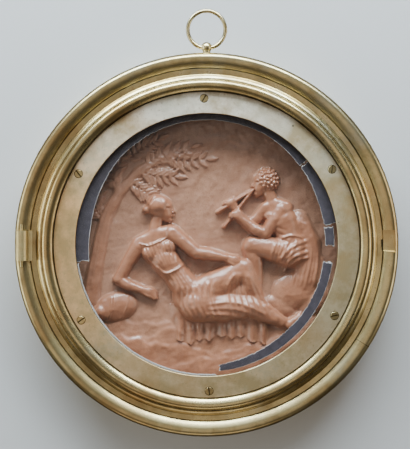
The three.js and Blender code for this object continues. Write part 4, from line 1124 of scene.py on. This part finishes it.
class PLAQUE_OT_bezel(bpy.types.Operator):
    """Turns the hinged bezel with its band, cove and raised collar"""

    bl_idname = "plaque.bezel"
    bl_label = "Bezel"

    def execute(self, context):
        s = context.scene.plaque_bezel
        edge, under = 0.5 * MM, s.ledge_depth - s.glass_thickness - GLASS_GAP
        low, high = s.band_depth - s.band_tilt, s.band_depth + s.band_tilt
        cove = [(s.band_radius + (s.cove_radius - s.band_radius) * t,
                 low + (s.cove_depth - low) * math.sin(t * math.pi / 2))
                for t in np.linspace(0, 1, 9)]
        collar = moulding(s.collar_crest, s.cove_depth, s.collar_height, s.cove_radius - edge,
                          s.collar_radius, s.collar_drop, 16)
        profile = [
            (s.lip_radius, s.under_depth), (s.outer_radius, s.under_depth),
            (s.outer_radius, high - edge), (s.outer_radius - edge, high), *cove,
            (s.cove_radius - 0.1 * MM, s.cove_depth - edge),
            (s.cove_radius - edge, s.cove_depth - edge), *collar,
            (s.collar_radius, s.ledge_depth), (s.ledge_radius, s.ledge_depth),
            (s.ledge_radius, under), (s.lip_radius, under),
        ]
        # dark lines of dirt and painted shade in the corners of the band, cove and collar
        dirt_and_shade_lines = [(s.band_radius, 0.0003), (s.cove_radius - 0.3 * MM, 0.0004),
                 (s.collar_radius, 0.0006)]
        bezel = turned_piece("bezel", profile, brass("bezel brass", 1.0, 0.27, dirt_and_shade_lines=dirt_and_shade_lines))
        across, up, floor = (153.7 * MM, s.outer_radius + MM), (-5.2 * MM, 4.6 * MM), 32 * MM
        combined(bezel, [block_mesh(across, up, (floor, IN_FRONT))])  # a nick at the thumb notch
        smooth(tidy_mesh(bezel.data))
        finish_piece(bezel, "bezel", "bezel_brass", "bezel_ring")
        return {"FINISHED"}


class PLAQUE_OT_flat_ring(bpy.types.Operator):
    """Turns the flat ring that holds the glass, and drives its slotted screws"""

    bl_idname = "plaque.flat_ring"
    bl_label = "Flat ring and screws"

    # distance from the middle in mm, angle in degrees, radius and depth in mm
    small_holes = ((129.5, 54, 0.8, 1.5), (118.0, 9.5, 0.4, 0.8))

    def execute(self, context):
        s, bezel = context.scene.plaque_flat_ring, context.scene.plaque_bezel
        seat, bevel, outer = bezel.ledge_depth + GLASS_GAP, 0.6 * MM, bezel.collar_radius - s.gap
        profile = [(s.inner_radius, seat), (outer, seat), (outer, s.face_depth - bevel),
                   (outer - bevel, s.face_depth), (s.inner_radius + bevel, s.face_depth),
                   (s.inner_radius, s.face_depth - bevel)]
        # dirt and painted shade at the opening's edge and on all below the face; the top painted
        # near white as a painted reflection of the light above, and the left, right and bottom
        # tinted orange, grey and brown as tarnish mixed with painted reflection
        material = brass("flat ring brass", 1.0, 0.50, dirt_and_shade_lines=[(s.inner_radius, 0.0003)],
                         floor=s.face_depth - 0.25 * MM,
                         side_tarnish_and_painted_light=[("X", -0.03, -0.12, 0.9, (1.0, 0.64, 0.34)),
                                ("Z", 0.04, 0.12, 0.85, (0.98, 0.94, 0.88)),
                                ("X", 0.04, 0.12, 0.6, (0.62, 0.54, 0.45)),
                                ("Z", -0.05, -0.12, 0.6, (0.80, 0.62, 0.45))])
        ring = turned_piece("clamp_ring", profile, material)
        combined(ring, [self.well(s, s.screw_circle, s.screw_start + k * 2 * math.pi / s.screws,
                                  s.head_radius + s.screw_gap, 1.0 * MM) for k in range(s.screws)])
        combined(ring, [self.well(s, distance * MM, math.radians(turn), radius * MM, deep * MM)
                        for distance, turn, radius, deep in self.small_holes])
        smooth(tidy_mesh(ring.data))
        finish_piece(ring, "bezel", "flat_ring_brass", "flat_ring")
        # the screw heads' sides and slots painted dark below the face, as dirt and painted shade
        screws = new_object("screws", self.screw_mesh(s), brass("screw brass", 0.9, 0.3, 0.4, False,
                                                                floor=s.face_depth + 0.05 * MM))
        run_tree(screws, screw_circle_tree(), screws=s.screws, circle_radius=s.screw_circle,
                 first_angle=s.screw_start, material=screws.data.materials[0])
        smooth(screws.data)
        finish_piece(screws, "bezel", "screw_brass", *(f"screw_{i + 1}" for i in range(s.screws)))
        return {"FINISHED"}

    def well(self, s, distance, turn, radius, deep):
        """A round hole to sink in the ring's face."""
        place = (distance * math.cos(turn), -s.face_depth, distance * math.sin(turn))
        return moved(rod_mesh(radius, deep, 32, "Y"), place)

    def screw_mesh(self, s):
        """One screw head facing the viewer, its slot level."""
        top, bottom = s.face_depth + 0.4 * MM, s.face_depth - 1.2 * MM
        r, w, bevel = s.head_radius, s.slot_width / 2, 0.25 * MM
        floor, shrink = top - s.slot_depth, 1 - bevel / r
        corner, n = math.asin(w / r), 21
        points, faces = [], []
        for side in (1, -1):
            ring = [(r * math.cos(a), side * r * math.sin(a))
                    for a in np.linspace(corner, math.pi - corner, n)]
            inner = [(x * shrink, side * max(abs(y * shrink), w)) for x, y in ring]
            low = len(points)
            mid, high = low + n, low + 2 * n
            points += [(x, -bottom, y) for x, y in ring] + [(x, bevel - top, y) for x, y in ring]
            points += [(x, -top, y) for x, y in inner]
            points += [(x, -floor, y) for x, y in (ring[0], ring[-1])]
            for i in range(n - 1):
                faces += [(low + i, low + i + 1, mid + i + 1, mid + i),
                          (mid + i, mid + i + 1, high + i + 1, high + i)]
            faces.append(tuple(range(high, high + n)))
            faces.append((high + n - 1, mid + n - 1, high + n + 1, high + n, mid, high))
        other = 3 * n + 2
        first, second = 3 * n, other + 3 * n
        faces.append((first, first + 1, second + 1, second))
        faces.append((*range(n), *reversed(range(other, other + n))))
        faces.append((0, first, second, other))
        faces.append((n - 1, first + 1, second + 1, other + n - 1))
        return tidy_mesh(mesh_of("screw", points, faces))


SLOT_TURNS = (82, 60, 128, 35, 100, 12)  # as the screwdriver left them, in degrees


def screw_circle_tree():
    """Copies of a screw on a circle, each with its slot turned its own way."""
    tree, given = new_tree("Screw circle", [("Screws", "NodeSocketInt", 6),
                                            ("Circle Radius", "NodeSocketFloat", 0.129),
                                            ("First Angle", "NodeSocketFloat", 0.0)])
    circle = add_node(tree, "GeometryNodeMeshCircle", {"Vertices": given["Screws"],
                                                       "Radius": given["Circle Radius"]})
    facing = add_node(tree, "ShaderNodeCombineXYZ", {"Z": given["First Angle"]})
    started = add_node(tree, "GeometryNodeTransform", {"Geometry": circle.outputs["Mesh"],
                                                       "Rotation": facing.outputs[0]})
    upright = add_node(tree, "GeometryNodeTransform", {"Geometry": started.outputs["Geometry"]},
                       {"Rotation": (math.pi / 2, 0.0, 0.0)})
    index = add_node(tree, "GeometryNodeInputIndex")
    turns = add_node(tree, "GeometryNodeIndexSwitch", {"Index": index.outputs[0]},
                     data_type="FLOAT")
    while len(turns.index_switch_items) < len(SLOT_TURNS):
        turns.index_switch_items.new()
    for socket, turn in zip(turns.inputs[1:], SLOT_TURNS):
        socket.default_value = -math.radians(turn)
    slot = add_node(tree, "ShaderNodeCombineXYZ", {"Y": turns.outputs[0]})
    placed = add_node(tree, "GeometryNodeInstanceOnPoints", {"Points": upright.outputs["Geometry"],
                                                             "Instance": given["Geometry"],
                                                             "Rotation": slot.outputs[0]})
    return end_tree(tree, given, placed.outputs["Instances"])


class PLAQUE_OT_glass(bpy.types.Operator):
    """Lays the clear pane in its rabbet"""

    bl_idname = "plaque.glass"
    bl_label = "Glass"

    def execute(self, context):
        s = context.scene.plaque_bezel
        top, edge = s.ledge_depth, s.ledge_radius - 0.6 * MM
        bottom, bevel = top - s.glass_thickness, 0.3 * MM
        profile = [(0.0, bottom), (edge - bevel, bottom), (edge, bottom + bevel),
                   (edge, top - bevel), (edge - bevel, top), (0.0, top)]
        pane = turned_piece("glass", profile, pane_glass(), 128)
        smooth(pane.data)
        finish_piece(pane, "bezel", "pane_glass", "glass_pane")
        return {"FINISHED"}


# of the paper, in mm
TAPE_DEPTH = 30.3  # its face, out from the wall
TAPE_THICKNESS = 0.4
TAPE_THINNING = 0.12  # how much thinner it is at a torn edge


class PLAQUE_OT_tapes(bpy.types.Operator):
    """Sticks torn strips of gummed paper behind the glass"""

    bl_idname = "plaque.tapes"
    bl_label = "Paper strips"

    # places (degree, mm) along the inner edge, outer radius in mm, roughness of the inner edge
    strips = {
        "tape_strip_top": (((40.2, 108), (60, 110.5), (100, 110.5), (132, 109), (147, 106.5),
                            (160, 104.8), (170, 103.8), (187.5, 105)), 118, 0.3),
        "tape_strip_right": (((9.5, 105.5), (22, 106), (30, 107), (39.2, 108)), 118, 0.4),
        "tape_strip_scrap": (((-0.5, 105.5), (8, 105.2)), 113.5, 0.35),
        "tape_strip_bottom": (((276, 107), (290, 105), (310, 104), (330, 104.5), (351.6, 104.5)),
                              113, 0.9),
    }
    # what is left of a strip that was torn off
    residue = (((188.5, 114.6), (215, 114.9), (245, 114.7), (274, 114.9)), 116.5, 0.35)

    def execute(self, context):
        material = gummed_paper()
        for seed, (name, strip) in enumerate(self.strips.items()):
            mesh = self.strip_mesh(strip, seed)
            piece = new_object(name.replace("tape_", "paper_"), mesh, material)
            if name == "tape_strip_bottom":
                with reshaping(mesh) as shape:
                    shape.from_mesh(self.strip_mesh(self.residue, seed=9, paleness=1.5))
                smooth(mesh, 40)
            finish_piece(piece, "bezel", "tape_paper", name)
        return {"FINISHED"}

    def strip_mesh(self, strip, seed, paleness=0.0):
        """A strip bent round the opening, with torn edges that it marks for its material."""
        edge_places, outer, ragged = strip
        turns, radii = zip(*edge_places)
        start, end = turns[0], turns[-1]
        draw = np.random.default_rng(40 + seed)
        count = max(12, int(math.radians(end - start) * outer / 0.8))
        places = np.linspace(start, end, count + 1)
        inner = np.interp(places, turns, radii)

        def tear(size):
            rough = np.convolve(draw.normal(0, 1, count + 7), [0.15, 0.35, 0.35, 0.15], "same")
            sway = np.convolve(draw.normal(0, 1, count + 41), np.ones(21) / 21, "valid")
            return size * (0.7 * rough[3:-3][:count + 1] + 1.6 * sway[:count + 1])

        low, high = inner + np.abs(tear(ragged)), outer - np.abs(tear(0.3))
        shares = np.array([0.0, 0.05, 0.12, 0.3, 0.5, 0.7, 0.88, 0.95, 1.0])
        edges = np.array([1.0, 0.45, 0, 0, 0, 0, 0, 0.45, 1.0])
        steps = np.arange(count + 1)
        ends = 1 - np.clip(np.minimum(steps, count - steps) / 1.5, 0, 1)
        across = len(shares)
        points, torn = [], []
        for top in (True, False):
            for i, a in enumerate(np.radians(places)):
                slant = draw.normal(0, 0.6, across) if i in (0, count) else np.zeros(across)
                for j, t in enumerate(shares):
                    r = low[i] + (high[i] - low[i]) * t
                    edge = max(ends[i], edges[j])
                    depth = TAPE_DEPTH - (TAPE_THINNING * edge if top else TAPE_THICKNESS)
                    turn = a + slant[j] / r
                    points.append((r * MM * math.cos(turn), -depth * MM, r * MM * math.sin(turn)))
                    torn.append(edge + paleness)
        size = (count + 1) * across
        faces = []
        for i in range(count):
            for j in range(across - 1):
                a = i * across + j
                b, c, d = a + across, a + across + 1, a + 1
                faces += [(a, b, c, d), (size + d, size + c, size + b, size + a)]
        border = [*range(across), *(i * across + across - 1 for i in range(1, count + 1)),
                  *(count * across + j for j in reversed(range(across - 1))),
                  *(i * across for i in reversed(range(1, count)))]
        for a, b in zip(border, border[1:] + border[:1]):
            faces.append((a, b, b + size, a + size))
        mesh = mesh_of("strip", points, faces)
        mark = mesh.attributes.new("torn", "FLOAT", "POINT")
        mark.data.foreach_set("value", np.array(torn, np.float32))
        with reshaping(mesh) as shape:
            bmesh.ops.recalc_face_normals(shape, faces=shape.faces)
        smooth(mesh, 40)
        return mesh


class PLAQUE_OT_hinge(bpy.types.Operator):
    """Makes the hinge: the bored barrel with its leaf on the bezel, and the case's pin"""

    bl_idname = "plaque.hinge"
    bl_label = "Hinge"

    def execute(self, context):
        s, bezel = context.scene.plaque_hinge, context.scene.plaque_bezel
        place = (-s.axis_x, -s.axis_depth, -s.drop)
        material = brass("hinge brass", 0.85, 0.45, 0.5, False)
        half = s.barrel_length / 2
        round_bar = moved(rod_mesh(s.barrel_radius, half), place)
        barrel = new_object("hinge_barrel_dressed", round_bar, material)
        # the leaf lies on the band with a hair of room and runs into the barrel
        foot, thick, into, inner = bezel.band_depth + 0.3 * MM, 1.3 * MM, 2.5 * MM, 153.4 * MM
        leaf = block_mesh((into - s.axis_x, -inner), (-half - s.drop, half - s.drop),
                          (foot, foot + thick))
        combined(barrel, [leaf], "UNION")
        combined(barrel, [moved(rod_mesh(s.pin_radius + 0.3 * MM, s.barrel_length, 32), place)])
        smooth(tidy_mesh(barrel.data))
        finish_piece(barrel, "bezel", "fittings_brass", "hinge_barrel")
        bar = moved(rod_mesh(s.pin_radius, s.pin_length / 2, 32), place)
        pin = new_object("hinge_pin_dressed", bar, material)
        smooth(pin.data)
        finish_piece(pin, "case", "fittings_brass", "hinge_pin")
        return {"FINISHED"}


class PLAQUE_OT_hanging_ring(bpy.types.Operator):
    """Bends the hanging ring through its ball"""

    bl_idname = "plaque.hanging_ring"
    bl_label = "Hanging ring"

    def execute(self, context):
        s, case = context.scene.plaque_ring, context.scene.plaque_case
        profile = quarter((s.ring_radius, 0.0), (s.wire_radius, s.wire_radius), 0, 345, 23)
        ring = turned_piece("loop", profile, brass("ring brass", 1.2, 0.24, 0.2, False), 128)
        moved(ring.data, (0.0, -case.moulding_depth, s.ring_height))
        smooth(ring.data)
        finish_piece(ring, "ring", "fittings_brass", "hanging_ring")
        return {"FINISHED"}


# --- stage ------------------------------------------------------------------------------


class PLAQUE_OT_stage(bpy.types.Operator):
    """Sets the camera, the pale backdrop and the soft lights"""

    bl_idname = "plaque.stage"
    bl_label = "Stage"

    def execute(self, context):
        s = context.scene.plaque_stage
        self.camera(context, s)
        self.backdrop(s)
        for light in (
            ("overhead", (-0.1, -0.63, 1.18), (1.8, 0.55), 23.0, (0.80, 0.93, 1.0)),
            ("upper_front", (-0.3, -1.4, 0.95), (1.9, 0.5), 1.2, (0.86, 0.95, 1.0)),
            ("front", (-0.6, -1.7, -0.1), (1.6, 1.0), 0.65, (1.0, 0.86, 0.70)),
            ("left", (-1.7, -0.5, 0.05), (1.1, 1.5), 3.2, (0.94, 1.0, 0.92)),
            ("right", (1.7, -0.5, 0.05), (1.1, 1.5), 2.2, (1.0, 0.95, 0.82)),
            ("below", (-0.2, -0.6, -1.6), (1.6, 0.8), 1.0, (1.0, 0.86, 0.66)),
            ("behind", (0.0, 1.8, 0.3), (3.2, 2.4), 0.9, (1.0, 0.98, 0.95)),
        ):
            self.soft_light(*light)
        world = bpy.data.worlds.new("studio")
        context.scene.world = world
        world.use_nodes = True
        sky = world.node_tree.nodes["Background"]
        sky.inputs["Color"].default_value = (1.0, 0.86, 0.70, 1.0)
        sky.inputs["Strength"].default_value = 0.04
        seen = add_node(world.node_tree, "ShaderNodeBackground", (), {"Color": (*s.wall, 1.0)})
        path = add_node(world.node_tree, "ShaderNodeLightPath")
        both = add_node(world.node_tree, "ShaderNodeMixShader",
                        {0: path.outputs["Is Camera Ray"], 1: sky.outputs[0], 2: seen.outputs[0]})
        out = world.node_tree.nodes["World Output"]
        world.node_tree.links.new(both.outputs[0], out.inputs["Surface"])
        return {"FINISHED"}

    def camera(self, context, s):
        data = bpy.data.cameras.new("camera")
        data.sensor_width = 36.0
        data.lens = data.sensor_width * s.camera_distance / s.view_height
        camera = bpy.data.objects.new("camera", data)
        rim = context.scene.plaque_case.moulding_depth
        camera.location = (-s.camera_side, -rim - s.camera_distance, s.camera_height)
        camera.rotation_euler = (math.pi / 2, 0.0, 0.0)
        context.scene.collection.objects.link(camera)
        context.scene.camera = camera

    def backdrop(self, s):
        """A pale wall behind the case, clear when seen from behind."""
        finish = Finish("backdrop")
        finish.plain(Base_Color=(*s.wall, 1.0), Roughness=0.9)
        behind = finish.node("ShaderNodeNewGeometry").outputs["Backfacing"]
        solid = finish.shader.outputs[0]
        clear = finish.node("ShaderNodeBsdfTransparent").outputs[0]
        both = finish.node("ShaderNodeMixShader", {0: behind, 1: solid, 2: clear})
        out = finish.tree.nodes["Material Output"]
        finish.tree.links.new(both.outputs[0], out.inputs["Surface"])
        half, gap = 4.0, 0.0006
        corners = [(-half, gap, -half), (half, gap, -half), (half, gap, half), (-half, gap, half)]
        wall = new_object("wall", mesh_of("wall", corners, [(0, 1, 2, 3)]), finish.material)
        wall.visible_shadow = wall.visible_glossy = False

    def soft_light(self, name, place, size, brightness, shade):
        """A panel that faces the case, with its brightness as seen from there."""
        data = bpy.data.lights.new(name, "AREA")
        data.shape = "RECTANGLE"
        data.size, data.size_y = size
        data.energy = brightness * math.pi * size[0] * size[1]
        data.color = shade
        light = bpy.data.objects.new(name, data)
        light.location = place
        light.rotation_euler = (-Vector(place)).to_track_quat("-Z", "Y").to_euler()
        bpy.context.scene.collection.objects.link(light)


# --- panel ------------------------------------------------------------------------------

SETTINGS = {
    "plaque_case": CaseSizes, "plaque_bezel": BezelSizes, "plaque_flat_ring": FlatRingSizes,
    "plaque_relief": ReliefSizes, "plaque_ring": HangingRingSizes, "plaque_hinge": HingeSizes,
    "plaque_finishes": Finishes, "plaque_stage": StageSizes,
}
OPERATORS = (PLAQUE_OT_case, PLAQUE_OT_relief, PLAQUE_OT_bezel, PLAQUE_OT_flat_ring,
             PLAQUE_OT_glass, PLAQUE_OT_tapes, PLAQUE_OT_hinge, PLAQUE_OT_hanging_ring,
             PLAQUE_OT_stage)


class PLAQUE_PT_panel(bpy.types.Panel):
    """Lists the plaque's settings and the buttons that make its pieces"""

    bl_idname = "PLAQUE_PT_panel"
    bl_label = "Relief Plaque"
    bl_space_type = "VIEW_3D"
    bl_region_type = "UI"
    bl_category = "Plaque"

    def draw(self, context):
        for operator in OPERATORS:
            self.layout.operator(operator.bl_idname)
        for name in SETTINGS:
            box = self.layout.box()
            group = getattr(context.scene, name)
            for prop in group.bl_rna.properties:
                if prop.identifier not in ("name", "rna_type"):
                    box.prop(group, prop.identifier)


def register():
    for group in (*SETTINGS.values(), *OPERATORS, PLAQUE_PT_panel):
        bpy.utils.register_class(group)
    for name, group in SETTINGS.items():
        setattr(bpy.types.Scene, name, bpy.props.PointerProperty(type=group))


def unregister():
    for name in SETTINGS:
        delattr(bpy.types.Scene, name)
    for group in (PLAQUE_PT_panel, *reversed(OPERATORS), *reversed(SETTINGS.values())):
        bpy.utils.unregister_class(group)


def main():
    register()
    for operator in OPERATORS:
        getattr(bpy.ops.plaque, operator.bl_idname.split(".")[1])()


if __name__ == "__main__":
    main()
